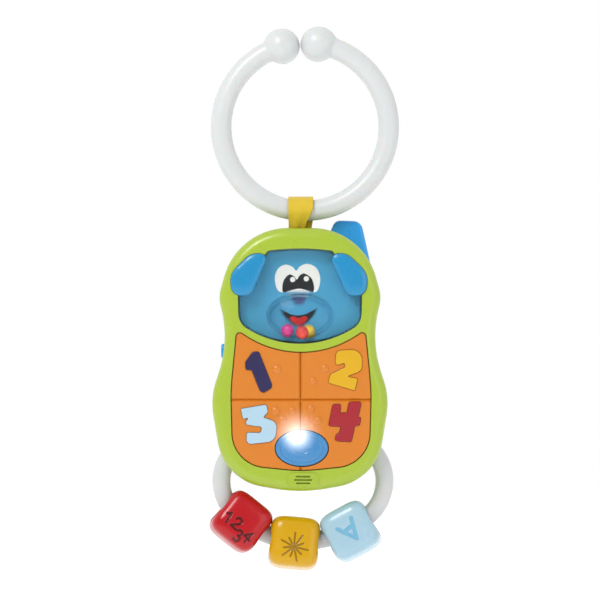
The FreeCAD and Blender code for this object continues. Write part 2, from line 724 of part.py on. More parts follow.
def make_rattle_ball(name, angle, depth):
    """One loose ball in the muzzle, `angle` degrees from the bottom of its rolling arc."""
    ball = lump(name, "Part::Sphere", Radius="Sizes.rattle_ball")
    ball.Label = name
    turn = math.radians(angle)
    swing = size("rattle_swing")
    top_z = MUZZLE_MIDDLE[1] - (MUZZLE_SHORT - size("dome_wall")) + size("rattle_ball") + 0.12 + swing
    x = size("phone_axis") + MUZZLE_MIDDLE[0] + swing * math.sin(turn)
    z = size("phone_middle") + top_z - swing * math.cos(turn)
    ball.Placement = Placement(Vector(x, -depth, z), Rotation())
    return ball


def make_antenna():
    """Stub antenna that stands out of the rear cover's shoulder."""
    body = new_body("antenna")
    slab(body, "blade", outline(ANTENNA), "Sizes.antenna_near - Sizes.antenna_thickness", "Sizes.antenna_near")
    near = size("antenna_near")
    far = near - size("antenna_thickness")
    round_edges(body, "blade_round", "1.5", lambda edge: at_depth(near)(edge) or at_depth(far)(edge))
    return body


# ---------------------------------------------------------------- keys

def make_key(number):
    """Orange quarter of the keypad, with its bumps, its number's bed, its lip and its stem."""
    body = new_body("key_%d" % number)
    side_x, side_z = KEY_SIDE[number]
    slab(body, "lip", outline(KEYPAD, 0.75), "Sizes.key_back", "Sizes.key_lip_front")
    slab(body, "cap", outline(KEYPAD), "Sizes.key_back", "Sizes.key_front")
    seam = size("seam") / 2
    far = 40.0
    across = rectangle(GROOVE_X - side_x * (far / 2 - seam), 0, far, 4 * far)
    cut(body, "across", across, "Sizes.key_back - 1", "Sizes.key_front + 1")
    below = rectangle(0, GROOVE_Z - side_z * (far - seam), 4 * far, 2 * far)
    cut(body, "below", below, "Sizes.key_back - 1", "Sizes.key_front + 1")
    if side_z < 0:
        x, z = BUTTON_MIDDLE
        hole = ellipse(x, z, size("button_long") + 0.3, size("button_short") + 0.3)
        cut(body, "button_hole", hole, "Sizes.key_back - 1", "Sizes.key_front + 1")
        relief = ellipse(x, z, size("button_long") + 1.6, size("button_short") + 1.3)
        cut(body, "button_relief", relief, "Sizes.key_back - 1", "Sizes.key_front - 1.8")

    def on_seam(edge):
        box = edge.BoundBox
        flat = abs(box.YMin + size("key_front")) < 1e-4 and abs(box.YMax + size("key_front")) < 1e-4
        upright = abs(box.XMin - GROOVE_X - side_x * seam) < 1e-3 and abs(box.XMax - box.XMin) < 1e-3
        level = abs(box.ZMin - GROOVE_Z - side_z * seam) < 1e-3 and abs(box.ZMax - box.ZMin) < 1e-3
        return flat and (upright or level)

    bevel_edges(body, "groove", "Sizes.groove", on_seam)
    for index, (x, z, scale) in enumerate(BUMPS[number]):
        bump = body.newObject("PartDesign::AdditiveSphere", "bump_%d" % index)
        rise = size("bump_rise") * scale
        radius = size("bump_radius") * scale
        bump.Radius = radius
        bump.Placement = Placement(Vector(x, -(size("key_front") + rise - radius), z), Rotation())
        document.recompute()
    bed = outline(DIGITS[number], size("number_gap"))
    cut(body, "number_bed", bed, "Sizes.key_front - Sizes.digit_sink", "Sizes.key_front + 2")
    x, z = STEMS[number]
    slab(body, "stem", circle(x, z, size("stem_radius")), "Sizes.stem_end", "Sizes.key_back + 0.5")
    return body


def make_digit(number):
    """Coloured number set into its key, standing a little proud with softened edges."""
    body = new_body("digit_%d" % number)
    slab(body, "number", outline(DIGITS[number]), "Sizes.key_front - Sizes.digit_sink",
         "Sizes.key_front + Sizes.digit_rise")
    top = size("key_front") + size("digit_rise")
    round_edges(body, "soft_edge", "0.25", at_depth(top))
    return body


def make_light_button():
    """Translucent oval button, hollow over the lamp, with a lip under the keys and a raised ring."""
    body = new_body("light_button")
    x, z = BUTTON_MIDDLE
    long_half, short_half = size("button_long"), size("button_short")
    lip = ellipse(x, z, long_half + 1.0, short_half + 0.7)
    slab(body, "lip", lip, "Sizes.button_lip_back", "Sizes.button_lip_front")
    slab(body, "cap", ellipse(x, z, long_half, short_half), "Sizes.button_lip_back", "Sizes.button_front")
    round_edges(body, "cap_round", "1.5", at_depth(size("button_front")))
    hollow = ellipse(x, z, long_half - 2.2, short_half - 2.2)
    cut(body, "hollow", hollow, "Sizes.button_lip_back - 1", "Sizes.button_front - 1.4")
    slab(body, "mark", circle(x, z, 2.6), "Sizes.button_front - 0.5", "Sizes.button_front + 0.3")
    cut(body, "mark_middle", circle(x, z, 1.8), "Sizes.button_front", "Sizes.button_front + 1")
    return body


def make_side_button():
    """Small blue button in the left flank, kept in by a flange inside the cover."""
    body = new_body("side_button")
    depth = -size("side_button_depth")
    z = size("side_button_z")
    width, height = size("side_button_width"), size("side_button_height")
    cap = outline(box_corners(depth, z, width, height, 2.2))
    sketch = plane_sketch(body, "YZ_Plane", "cap_outline", cap, "-(30.4 + Sizes.side_button_rise)")
    pad = body.newObject("PartDesign::Pad", "cap")
    pad.Profile = sketch
    pad.Length = 7.5
    document.recompute()
    flange = outline(box_corners(depth, z, width, height, 2.2), 0.9)
    sketch = plane_sketch(body, "YZ_Plane", "flange_outline", flange, "-27.5")
    ring = body.newObject("PartDesign::Pad", "flange")
    ring.Profile = sketch
    ring.Length = 1.0
    document.recompute()
    left = -(30.4 + size("side_button_rise"))
    round_edges(body, "cap_round", "0.8", lambda edge: edge.BoundBox.XMax < left + 1e-3)
    return body


# ---------------------------------------------------------------- inside the phone

def make_membrane():
    """Soft contact sheet between the keys' stems and the circuit board."""
    body = new_body("keypad_membrane")
    sheet_outline = outline(box_corners(0, -16.5, 40.0, 47.0, 3.0))
    slab(body, "sheet", sheet_outline, "Sizes.membrane_back", "Sizes.membrane_back + 0.6")
    for number, (x, z) in STEMS.items():
        slab(body, "dome_%d" % number, circle(x, z, 3.0), "Sizes.membrane_back", "Sizes.membrane_front - 0.65")
    cut(body, "lamp_hole", circle(BUTTON_MIDDLE[0], BUTTON_MIDDLE[1], 2.2), "0", "9")
    return body


def make_circuit_board():
    """Circuit board on the covers' posts, with the sound chip's blob on its rear side."""
    body = new_body("circuit_board")
    plan = outline(box_corners(0, -16.5, 40.0, 47.0, 1.5))
    slab(body, "board", plan, "Sizes.board_front - Sizes.board_thickness", "Sizes.board_front")
    slab(body, "chip_blob", circle(0, -18.0, 4.5), "Sizes.board_front - Sizes.board_thickness - 1.2",
         "Sizes.board_front - 0.5")
    return body


def make_lamp():
    """Round lamp under the light button."""
    x, z = BUTTON_MIDDLE
    stem = lump("lamp_stem", "Part::Cylinder", Radius="1.5", Height="3")
    tip = lump("lamp_tip", "Part::Sphere", Radius="1.5")
    tip.Placement.Base = Vector(0, 0, 3)
    lamp = joined("lamp", [stem, tip])
    base = Vector(size("phone_axis") + x, -size("board_front"), size("phone_middle") + z)
    lamp.Placement = Placement(base, Rotation(Vector(1, 0, 0), 90))
    document.recompute()
    return lamp


def make_speaker():
    """Small round speaker behind the grille."""
    x, z = SPEAKER_MIDDLE
    frame = lump("speaker_frame", "Part::Cylinder", Radius="Sizes.speaker_radius", Height="1.4")
    magnet = lump("speaker_magnet", "Part::Cylinder", Radius="5.2", Height="Sizes.speaker_thickness")
    speaker = joined("speaker", [frame, magnet])
    base = Vector(size("phone_axis") + x, size("rear_depth") - size("wall") - 0.2, size("phone_middle") + z)
    speaker.Placement = Placement(base, Rotation(Vector(1, 0, 0), 90))
    document.recompute()
    return speaker


def make_batteries():
    """Two slim round cells side by side, one each way up."""
    cells = []
    for index, side in enumerate((-1, 1)):
        can = lump("cell_can_%d" % index, "Part::Cylinder", Radius="Sizes.cell_radius", Height="Sizes.cell_length")
        nub = lump("cell_nub_%d" % index, "Part::Cylinder", Radius="1.9", Height="Sizes.cell_length + 0.9")
        cell = joined("cell_%d" % index, [can, nub])
        half = size("cell_length") / 2
        flip = Rotation(Vector(1, 0, 0), 180) if side > 0 else Rotation()
        middle = size("phone_middle") + size("bay_middle")
        cell.Placement = Placement(
            Vector(size("phone_axis") + side * CELL_X, -size("cell_depth"), middle + side * half), flip)
        cells.append(cell)
    return gathered("batteries", cells)


def make_contacts():
    """Flat sprung contacts at both ends of the battery bay."""
    body = new_body("battery_contacts")
    half = size("bay_height") / 2
    upper = size("bay_middle") + half - 0.5
    lower = size("bay_middle") - half + 0.5
    slab(body, "upper_strip", rectangle(0, upper, 22.0, 0.6), "Sizes.cell_depth - 4", "Sizes.cell_depth + 4")
    slab(body, "lower_left", rectangle(-CELL_X, lower, 9.0, 0.6), "Sizes.cell_depth - 4", "Sizes.cell_depth + 4")
    slab(body, "lower_right", rectangle(CELL_X, lower, 9.0, 0.6), "Sizes.cell_depth - 4", "Sizes.cell_depth + 4")
    return body


def make_contact_springs():
    """Coil springs that press on the flat ends of the two cells, each of three turns."""
    springs = []
    half_bay = size("bay_height") / 2
    half_cell = size("cell_length") / 2
    wire_radius, coil_radius, turns, bends = 0.25, 2.8, 3, 8
    length = half_bay - 0.8 - half_cell - 0.6
    for index, side in enumerate((-1, 1)):
        first = -half_bay + 1.1 if side < 0 else half_bay - 1.1 - length
        middle = Vector(size("phone_axis") + side * CELL_X, -size("cell_depth"),
                        size("phone_middle") + size("bay_middle") + first)
        points = []
        for step in range(turns * bends + 1):
            turn = 2 * math.pi * step / bends
            rise = length * step / (turns * bends)
            points.append(middle + Vector(coil_radius * math.cos(turn), coil_radius * math.sin(turn), rise))
        spring = document.addObject("Part::Feature", "contact_spring_%d" % index)
        spring.Shape = wire_solid(points, wire_radius)
        springs.append(spring)
    return gathered("contact_springs", springs)


def make_side_switch():
    """Tact switch behind the side button, on the rear cover's inner wall."""
    body = new_body("side_switch")
    z = size("side_button_z")
    sketch = plane_sketch(body, "YZ_Plane", "switch_outline", rectangle(4.6, z, 5.0, 5.0), "-22.8")
    pad = body.newObject("PartDesign::Pad", "switch_case")
    pad.Profile = sketch
    pad.Length = 3.0
    document.recompute()
    return body


def wire_solid(points, radius):
    """Return a round wire along straight runs joined by arcs as large as the runs allow."""
    edges = []
    start = points[0]
    for i in range(1, len(points) - 1):
        back, ahead = points[i - 1] - points[i], points[i + 1] - points[i]
        turn = math.pi - back.getAngle(ahead)
        bend = 0.45 * min(back.Length, ahead.Length) / math.tan(turn / 2)
        reach = bend * math.tan(turn / 2)
        back.normalize()
        ahead.normalize()
        enter, leave = points[i] + back * reach, points[i] + ahead * reach
        inward = (back + ahead).normalize() * (bend / math.cos(turn / 2) - bend)
        edges.append(Part.LineSegment(start, enter).toShape())
        edges.append(Part.Arc(enter, points[i] + inward, leave).toShape())
        start = leave
    edges.append(Part.LineSegment(start, points[-1]).toShape())
    section = Part.Wire([Part.makeCircle(radius, points[0], points[1] - points[0])])
    return Part.Wire(edges).makePipeShell([section], True, False)


def make_leads(label, routes):
    """Insulated inner leads, each along its own route about the phone's middle."""
    leads = []
    for index, route in enumerate(routes):
        lead = document.addObject("Part::Feature", "%s_%d" % (label, index))
        lead.Shape = wire_solid([Vector(*point) for point in route], 0.6)
        lead.Placement = Placement(Vector(size("phone_axis"), 0, size("phone_middle")), Rotation())
        leads.append(lead)
    return gathered(label, leads)


# ---------------------------------------------------------------- bead handle

def make_handle():
    """White oval handle whose two ends are held between the covers."""
    body = new_body("handle_ring")
    handle_pipe(body, "handle_tube", "PartDesign::AdditivePipe", size("handle_tube"))
    return body


def make_bead(name, angle):
    """Rounded cube with a wide flared hole, threaded on the handle's low arc."""
    edge = size("bead_size")
    body = document.addObject("PartDesign::Body", name)
    body.Label = name
    cube = body.newObject("PartDesign::AdditiveBox", name + "_cube")
    for side in ("Length", "Width", "Height"):
        cube.setExpression(side, "Sizes.bead_size")
    cube.Placement = Placement(Vector(-edge / 2, -edge / 2, -edge / 2), Rotation())
    document.recompute()
    round_edges(body, name + "_round", "Sizes.bead_round", lambda _: True)
    across = Rotation(Vector(0, 1, 0), 90)
    hole = body.newObject("PartDesign::SubtractiveCylinder", name + "_hole")
    hole.setExpression("Radius", "Sizes.bead_hole")
    hole.setExpression("Height", "Sizes.bead_size + 2")
    hole.Placement = Placement(Vector(-edge / 2 - 1, 0, 0), across)
    document.recompute()
    for side in (-1, 1):
        flare = body.newObject("PartDesign::SubtractiveCone", "%s_flare_%s" % (name, "in" if side < 0 else "out"))
        depth = size("bead_flare_depth")
        inner, outer = size("bead_hole"), size("bead_flare")
        flare.Height = depth + 0.5
        slope = (outer - inner) / depth
        flare.Radius1 = outer + 0.5 * slope
        flare.Radius2 = inner
        turn = Rotation(Vector(0, 1, 0), 90 if side < 0 else -90)
        flare.Placement = Placement(Vector(side * (edge / 2 + 0.5), 0, 0), turn)
        document.recompute()
    swing = math.radians(angle)
    orbit = size("bead_orbit")
    x = size("phone_axis") + size("handle_axis") + orbit * math.sin(swing)
    z = size("phone_middle") + size("handle_low_centre") - orbit * math.cos(swing)
    body.Placement = Placement(
        Vector(x, 0, z), Rotation(Vector(0, 1, 0), -angle) * Rotation(Vector(1, 0, 0), -size("bead_roll")))
    document.recompute()
    return body


# ---------------------------------------------------------------- assembly

BATTERY_LEADS = [
    [(-10.5, 0.4, 36.0), (-13.5, -1.2, 36.5), (-17.5, -1.6, 30.0), (-18.0, -2.2, 20.0), (-18.0, -3.2, 5.0)],
    [(10.5, 0.4, 36.0), (13.5, -1.2, 36.5), (17.5, -1.6, 30.0), (18.0, -2.2, 20.0), (18.0, -3.2, 5.0)],
]
SPEAKER_LEADS = [
    [(-3.0, 6.6, -37.0), (-4.5, 3.5, -36.0), (-5.0, 0.5, -34.0), (-5.0, -3.6, -31.0)],
    [(3.0, 6.6, -37.0), (4.5, 3.5, -36.0), (5.0, 0.5, -34.0), (5.0, -3.6, -31.0)],
]


def build():
    """Make every piece of the toy and return them by label."""
    pieces = [
        make_hang_ring(), make_strap(), make_strap_pin(), make_front_cover(), make_rear_cover(),
        make_battery_door(), make_shell_screws(), make_door_screw(), make_window(), make_face_plate(),
        make_antenna(), make_light_button(), make_side_button(), make_membrane(), make_circuit_board(),
        make_lamp(), make_speaker(), make_batteries(), make_contacts(), make_contact_springs(),
        make_side_switch(), make_handle(),
    ]
    pieces += [make_ear(name, corners) for name, corners in EARS.items()]
    pieces += [make_rattle_ball(name, angle, depth) for name, (angle, depth) in RATTLE_BALLS.items()]
    pieces += [make_key(number) for number in KEY_SIDE]
    pieces += [make_digit(number) for number in KEY_SIDE]
    pieces += [make_bead(name, angle) for name, angle in BEAD_ANGLES.items()]
    pieces.append(make_leads("battery_leads", BATTERY_LEADS))
    pieces.append(make_leads("speaker_leads", SPEAKER_LEADS))
    return {piece.Label: piece for piece in pieces}


def check(pieces):
    """Stop if any object failed to recompute or any piece has no sound shape."""
    failed = [item for item in document.Objects if "Invalid" in item.State or "Error" in item.State]
    if failed:
        owners = [item.getParentGeoFeatureGroup() for item in failed]
        raise RuntimeError("failed: %s" % [(a.Label, b.Label if b else "") for a, b in zip(failed, owners)])
    for label, piece in pieces.items():
        if piece.Shape.isNull() or not piece.Shape.isValid() or not piece.Shape.Solids:
            raise RuntimeError("%s has no sound shape" % label)


def export(pieces):
    """Write each piece to its own file, named after its node."""
    os.makedirs("parts", exist_ok=True)
    for label, piece in pieces.items():
        piece.Shape.exportStep("parts/%s.step" % label)


document.recompute()
PIECES = build()
document.recompute()
check(PIECES)
export(PIECES)
for piece_label, piece_object in PIECES.items():
    print("%-20s %9.1f mm3 %d solids" % (piece_label, piece_object.Shape.Volume, len(piece_object.Shape.Solids)))
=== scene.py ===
"""Looks of a toy cell phone: a C-shaped hanging ring, a ribbon, a puppy phone and a bead handle.

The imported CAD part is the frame. Its covers, screws and inner pieces stay and get their finishes
here; the ring, ribbon, window, ears, button, printed face and beads are surfaces worked out with
numpy that stand for their plain CAD solids. Lengths in the classes are millimetres; meshes are
metres in the part's own frame, where +Z is up and the front of the phone looks along -Y.
"""

import logging
import math
from collections.abc import Sequence
from dataclasses import dataclass, field
from enum import Enum

import bpy
import numpy as np
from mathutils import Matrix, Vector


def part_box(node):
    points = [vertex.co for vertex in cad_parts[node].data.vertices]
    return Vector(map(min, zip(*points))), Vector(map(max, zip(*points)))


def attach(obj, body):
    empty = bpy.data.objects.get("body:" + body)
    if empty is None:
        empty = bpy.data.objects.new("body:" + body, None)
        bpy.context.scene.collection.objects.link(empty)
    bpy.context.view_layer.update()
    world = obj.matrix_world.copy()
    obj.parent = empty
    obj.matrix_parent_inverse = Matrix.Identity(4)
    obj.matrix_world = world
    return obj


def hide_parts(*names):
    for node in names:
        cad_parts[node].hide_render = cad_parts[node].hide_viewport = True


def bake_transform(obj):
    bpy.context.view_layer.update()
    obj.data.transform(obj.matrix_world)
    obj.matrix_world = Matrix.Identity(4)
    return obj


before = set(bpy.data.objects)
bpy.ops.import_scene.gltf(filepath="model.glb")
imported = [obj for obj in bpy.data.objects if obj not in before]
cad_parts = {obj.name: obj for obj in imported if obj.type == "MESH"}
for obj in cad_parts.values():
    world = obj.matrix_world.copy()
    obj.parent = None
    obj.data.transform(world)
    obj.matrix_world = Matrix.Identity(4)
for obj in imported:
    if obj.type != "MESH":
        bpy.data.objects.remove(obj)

LOG = logging.getLogger("toy_phone")
MM = 0.001
PHONE_AXIS = -2.0
PHONE_MIDDLE = -93.0

Corners = Sequence[tuple[float, float, float]]
Points2 = Sequence[tuple[float, float]]


# ---------------------------------------------------------------- colours and nodes

def linear(colour: str) -> tuple[float, float, float, float]:
    """Turns an sRGB hex colour into the linear colour that a shader socket holds.

    Args:
        colour: six hex digits after a hash sign.

    Returns:
        Linear red, green and blue, and an alpha of 1.
    """
    coded = np.array([int(colour[i:i + 2], 16) for i in (1, 3, 5)]) / 255.0
    straight = np.where(coded <= 0.04045, coded / 12.92, ((coded + 0.055) / 1.055) ** 2.4)
    return (float(straight[0]), float(straight[1]), float(straight[2]), 1.0)


def add_node(tree: bpy.types.NodeTree, kind: str, settings: dict | None = None,
             links: dict | None = None) -> bpy.types.Node:
    """Adds a node with its settings and its incoming links.

    Args:
        tree: the material's or world's node tree.
        kind: the node type without its "ShaderNode" prefix.
        settings: values by name; a lower-case name is a property of the node, and a capitalised
            name or a number is an input socket.
        links: output sockets by the name or number of the input that they feed.

    Returns:
        The new node.
    """
    node = tree.nodes.new("ShaderNode" + kind)
    for key, value in (settings or {}).items():
        if isinstance(key, str) and key[0].islower():
            setattr(node, key, value)
        else:
            node.inputs[key].default_value = value
    for key, socket in (links or {}).items():
        tree.links.new(socket, node.inputs[key])
    return node


def empty_material(name: str) -> tuple[bpy.types.Material, bpy.types.NodeTree]:
    """Makes a material with an empty node tree.

    Args:
        name: the material's name.

    Returns:
        The material and its tree.
    """
    material = bpy.data.materials.new(name)
    material.use_nodes = True
    material.node_tree.nodes.clear()
    return material, material.node_tree


def surface_output(tree: bpy.types.NodeTree, shader: bpy.types.Node) -> None:
    """Feeds a shader to the tree's surface output.

    Args:
        tree: the material's node tree.
        shader: the node whose first output is the surface.
    """
    add_node(tree, "OutputMaterial", links={"Surface": shader.outputs[0]})


# ---------------------------------------------------------------- finishes

TREE = bpy.types.NodeTree
SOCKET = bpy.types.NodeSocket


def drifting(tree: TREE, place: SOCKET, size: float, colour: str, other: str,
             detail: float = 3.0) -> tuple[SOCKET, SOCKET]:
    """Mixes two colours by a noise, as a melt's or an ink's tone drifts over a piece.

    Args:
        tree: the material's node tree.
        place: the coordinates that the noise is read at.
        size: the size of a patch, in millimetres.
        colour: the colour where the noise is low.
        other: the colour where it is high.
        detail: how many finer noises are added.

    Returns:
        The noise and the colour.
    """
    noise = add_node(tree, "TexNoise", {"Scale": 1.0 / (size * MM), "Detail": detail}, {"Vector": place})
    tint = add_node(tree, "Mix", {"data_type": "RGBA", 6: linear(colour), 7: linear(other)},
                    {"Factor": noise.outputs["Fac"]})
    return noise.outputs["Fac"], tint.outputs[2]


def gloss_over(tree: TREE, noise: SOCKET, low: float, high: float, first: float = 0.3,
               last: float = 0.7) -> SOCKET:
    """Spreads a noise between two roughnesses, so that handled patches are a little glossier.

    Args:
        tree: the material's node tree.
        noise: the noise.
        low: roughness where the noise is at `first` or under.
        high: roughness where it is at `last` or over.
        first: the noise's low end.
        last: the noise's high end.

    Returns:
        The roughness.
    """
    spread = add_node(tree, "MapRange", {"From Min": first, "From Max": last, "To Min": low, "To Max": high},
                      {"Value": noise})
    return spread.outputs["Result"]


def orange_peel(tree: TREE, place: SOCKET, size: float, depth: float, strength: float = 0.6) -> SOCKET:
    """Roughens a moulded skin with the fine swell that a mould's surface leaves.

    Args:
        tree: the material's node tree.
        place: the coordinates that the noise is read at.
        size: the size of a swell, in millimetres.
        depth: its depth, in millimetres.
        strength: how much of it shows.

    Returns:
        The normal.
    """
    peel = add_node(tree, "TexNoise", {"Scale": 1.0 / (size * MM), "Detail": 2.0}, {"Vector": place})
    relief = add_node(tree, "Bump", {"Strength": strength, "Distance": depth * MM},
                      {"Height": peel.outputs["Fac"]})
    return relief.outputs["Normal"]


@dataclass(frozen=True)
class MouldedPlastic:
    """Injection-moulded plastic: an even colour that drifts a little along the melt's flow.

    The skin has a faint orange peel, drawn coarser than the real 0.2 mm so that it shows, and
    handling leaves patches that are a little glossier than the rest.
    """

    name: str
    colour: str
    flow_colour: str
    roughness: float = 0.3
    peel: float = 0.9
    peel_depth: float = 0.012
    flow: float = 16.0
    subsurface: float = 0.08
    coat: float = 0.0
    ior: float = 1.53

    def build(self) -> bpy.types.Material:
        """Returns the finished material."""
        material, tree = empty_material(self.name)
        place = add_node(tree, "TexCoord").outputs["Object"]
        _, tint = drifting(tree, place, self.flow, self.colour, self.flow_colour)
        touched = add_node(tree, "TexNoise", {"Scale": 1.0 / (0.4 * self.flow * MM), "Detail": 4.0},
                           {"Vector": place})
        gloss = gloss_over(tree, touched.outputs["Fac"], self.roughness - 0.05, self.roughness + 0.06)
        normal = orange_peel(tree, place, self.peel, self.peel_depth)
        shader = add_node(
            tree, "BsdfPrincipled",
            {"IOR": self.ior, "Subsurface Weight": self.subsurface, "Subsurface Scale": 1.5 * MM,
             "Coat Weight": self.coat, "Coat Roughness": 0.06},
            {"Base Color": tint, "Roughness": gloss, "Normal": normal})
        surface_output(tree, shader)
        return material


@dataclass(frozen=True)
class EngravedPlastic:
    """Moulded bead plastic whose sunk marks are painted a deeper tint, painted shade in their hollows, read
    from the piece's own attribute.
    """

    name: str
    colour: str
    flow_colour: str
    painted_mark_shade: str
    roughness: float = 0.2
    flow: float = 9.0
    subsurface: float = 0.12

    def build(self) -> bpy.types.Material:
        """Returns the finished material."""
        material, tree = empty_material(self.name)
        place = add_node(tree, "TexCoord").outputs["Object"]
        drift, tint = drifting(tree, place, self.flow, self.colour, self.flow_colour)
        mark = add_node(tree, "Attribute", {"attribute_name": "engraved"})
        # painted shade: the deeper a point sits in a sunk mark, the darker its colour
        mark_shaded = add_node(tree, "Mix", {"data_type": "RGBA", 7: linear(self.painted_mark_shade)},
                          {"Factor": mark.outputs["Fac"], 6: tint})
        gloss = gloss_over(tree, drift, self.roughness - 0.06, self.roughness + 0.08)
        normal = orange_peel(tree, place, 0.8, 0.012, strength=0.5)
        shader = add_node(
            tree, "BsdfPrincipled",
            {"IOR": 1.42, "Subsurface Weight": self.subsurface, "Subsurface Scale": 2.0 * MM,
             "Coat Weight": 0.05, "Coat Roughness": 0.08},
            {"Base Color": mark_shaded.outputs[2], "Roughness": gloss, "Normal": normal})
        surface_output(tree, shader)
        return material


@dataclass(frozen=True)
class PaintedGlowPlastic:
    """Translucent moulded plastic with a painted glow, an emission that stands for a lit lamp behind it,
    brightest in front of the lamp.

    The painted glow falls off as the 2.4th power of one minus the distance from the lamp over its reach.
    """

    name: str
    colour: str
    flow_colour: str
    lamp: tuple[float, float, float]
    reach: float
    strength: float
    roughness: float = 0.3
    subsurface: float = 0.15

    def build(self) -> bpy.types.Material:
        """Returns the finished material."""
        material, tree = empty_material(self.name)
        place = add_node(tree, "TexCoord").outputs["Object"]
        drift, tint = drifting(tree, place, 14.0, self.colour, self.flow_colour)
        away = add_node(tree, "VectorMath", {"operation": "DISTANCE", 1: self.lamp}, {0: place})
        near = add_node(tree, "MapRange", {"From Min": 0.0, "From Max": self.reach * MM, "To Min": 1.0,
                                           "To Max": 0.0}, {"Value": away.outputs["Value"]})
        soft = add_node(tree, "Math", {"operation": "POWER", 1: 2.4}, {0: near.outputs["Result"]})
        # painted glow: an emission on the plastic itself, standing for the lamp's light shining through
        glow = add_node(tree, "Math", {"operation": "MULTIPLY", 1: self.strength}, {0: soft.outputs[0]})
        gloss = gloss_over(tree, drift, self.roughness - 0.05, self.roughness + 0.06)
        normal = orange_peel(tree, place, 0.9, 0.012)
        shader = add_node(
            tree, "BsdfPrincipled",
            {"IOR": 1.53, "Subsurface Weight": self.subsurface, "Subsurface Scale": 1.5 * MM,
             "Emission Color": (1.0, 0.97, 0.95, 1.0)},
            {"Base Color": tint, "Roughness": gloss, "Normal": normal, "Emission Strength": glow.outputs[0]})
        surface_output(tree, shader)
        return material


@dataclass(frozen=True)
class ClearPlastic:
    """Clear polycarbonate: sharp reflections on a body that the light passes through.

    It is partly see-through as well as refracting, and bends light less than the real plastic, so
    that the face behind it stays bright.
    """

    name: str
    colour: str
    roughness: float = 0.04

    def build(self) -> bpy.types.Material:
        """Returns the finished material."""
        material, tree = empty_material(self.name)
        place = add_node(tree, "TexCoord").outputs["Object"]
        haze = add_node(tree, "TexNoise", {"Scale": 1.0 / (7.0 * MM), "Detail": 3.0}, {"Vector": place})
        gloss = gloss_over(tree, haze.outputs["Fac"], self.roughness * 0.5, self.roughness * 1.6, first=0.35)
        shader = add_node(
            tree, "BsdfPrincipled",
            {"Base Color": linear(self.colour), "IOR": 1.28, "Transmission Weight": 1.0, "Alpha": 0.4},
            {"Roughness": gloss})
        surface_output(tree, shader)
        return material


@dataclass(frozen=True)
class PrintedInk:
    """Pad-printed ink: a flat satin film with a faint mottle where the pad lifted."""

    name: str
    colour: str
    mottle_colour: str
    roughness: float = 0.4

    def build(self) -> bpy.types.Material:
        """Returns the finished material."""
        material, tree = empty_material(self.name)
        place = add_node(tree, "TexCoord").outputs["Object"]
        mottle, tint = drifting(tree, place, 1.2, self.colour, self.mottle_colour, detail=4.0)
        relief = add_node(tree, "Bump", {"Strength": 0.3, "Distance": 0.01 * MM}, {"Height": mottle})
        shader = add_node(tree, "BsdfPrincipled", {"Roughness": self.roughness, "IOR": 1.48},
                          {"Base Color": tint, "Normal": relief.outputs["Normal"]})
        surface_output(tree, shader)
        return material


@dataclass(frozen=True)
class WovenRibbon:
    """Narrow woven polyester ribbon: crossed threads, read along and across the piece's own map, with the
    hollows between the threads painted darker as painted shade.

    The threads are drawn at 0.45 mm, about twice the real spacing, so that they show.
    """

    name: str
    colour: str
    painted_hollow_shade: str
    thread: float
    width: float
    length: float

    def build(self) -> bpy.types.Material:
        """Returns the finished material."""
        material, tree = empty_material(self.name)
        place = add_node(tree, "TexCoord").outputs["UV"]
        across = add_node(tree, "TexWave", {"bands_direction": "X", "Scale": self.width / self.thread / 3.2,
                                            "Distortion": 0.4, "Detail": 1.0}, {"Vector": place})
        stretched = add_node(tree, "Mapping", {"Scale": (1.0, self.length / self.width, 1.0)},
                             {"Vector": place})
        along = add_node(tree, "TexWave", {"bands_direction": "Y", "Scale": self.width / self.thread / 3.2,
                                           "Distortion": 0.4, "Detail": 1.0},
                         {"Vector": stretched.outputs["Vector"]})
        weave = add_node(tree, "Math", {"operation": "MULTIPLY"},
                         {0: across.outputs["Fac"], 1: along.outputs["Fac"]})
        # painted shade: the weave's low hollows take the darker colour
        tint = add_node(tree, "Mix",
                        {"data_type": "RGBA", 6: linear(self.painted_hollow_shade), 7: linear(self.colour)},
                        {"Factor": weave.outputs[0]})
        relief = add_node(tree, "Bump", {"Strength": 0.7, "Distance": 0.12 * MM},
                          {"Height": weave.outputs[0]})
        shader = add_node(tree, "BsdfPrincipled",
                          {"Roughness": 0.62, "Sheen Weight": 0.35, "Sheen Roughness": 0.4},
                          {"Base Color": tint.outputs[2], "Normal": relief.outputs["Normal"]})
        surface_output(tree, shader)
        return material


@dataclass(frozen=True)
class PlatedSteel:
    """Nickel-plated steel: bright metal with fine drawing lines from the wire or the press."""

    name: str
    colour: str
    roughness: float = 0.28

    def build(self) -> bpy.types.Material:
        """Returns the finished material."""
        material, tree = empty_material(self.name)
        place = add_node(tree, "TexCoord").outputs["Object"]
        drawn = add_node(tree, "Mapping", {"Scale": (1.0, 1.0, 0.1)}, {"Vector": place})
        lines = add_node(tree, "TexNoise", {"Scale": 1.0 / (0.5 * MM), "Detail": 4.0},
                         {"Vector": drawn.outputs["Vector"]})
        gloss = add_node(tree, "MapRange", {"To Min": self.roughness - 0.1, "To Max": self.roughness + 0.12},
                         {"Value": lines.outputs["Fac"]})
        shader = add_node(tree, "BsdfPrincipled", {"Base Color": linear(self.colour), "Metallic": 1.0},
                          {"Roughness": gloss.outputs["Result"]})
        surface_output(tree, shader)
        return material


# ---------------------------------------------------------------- surfaces

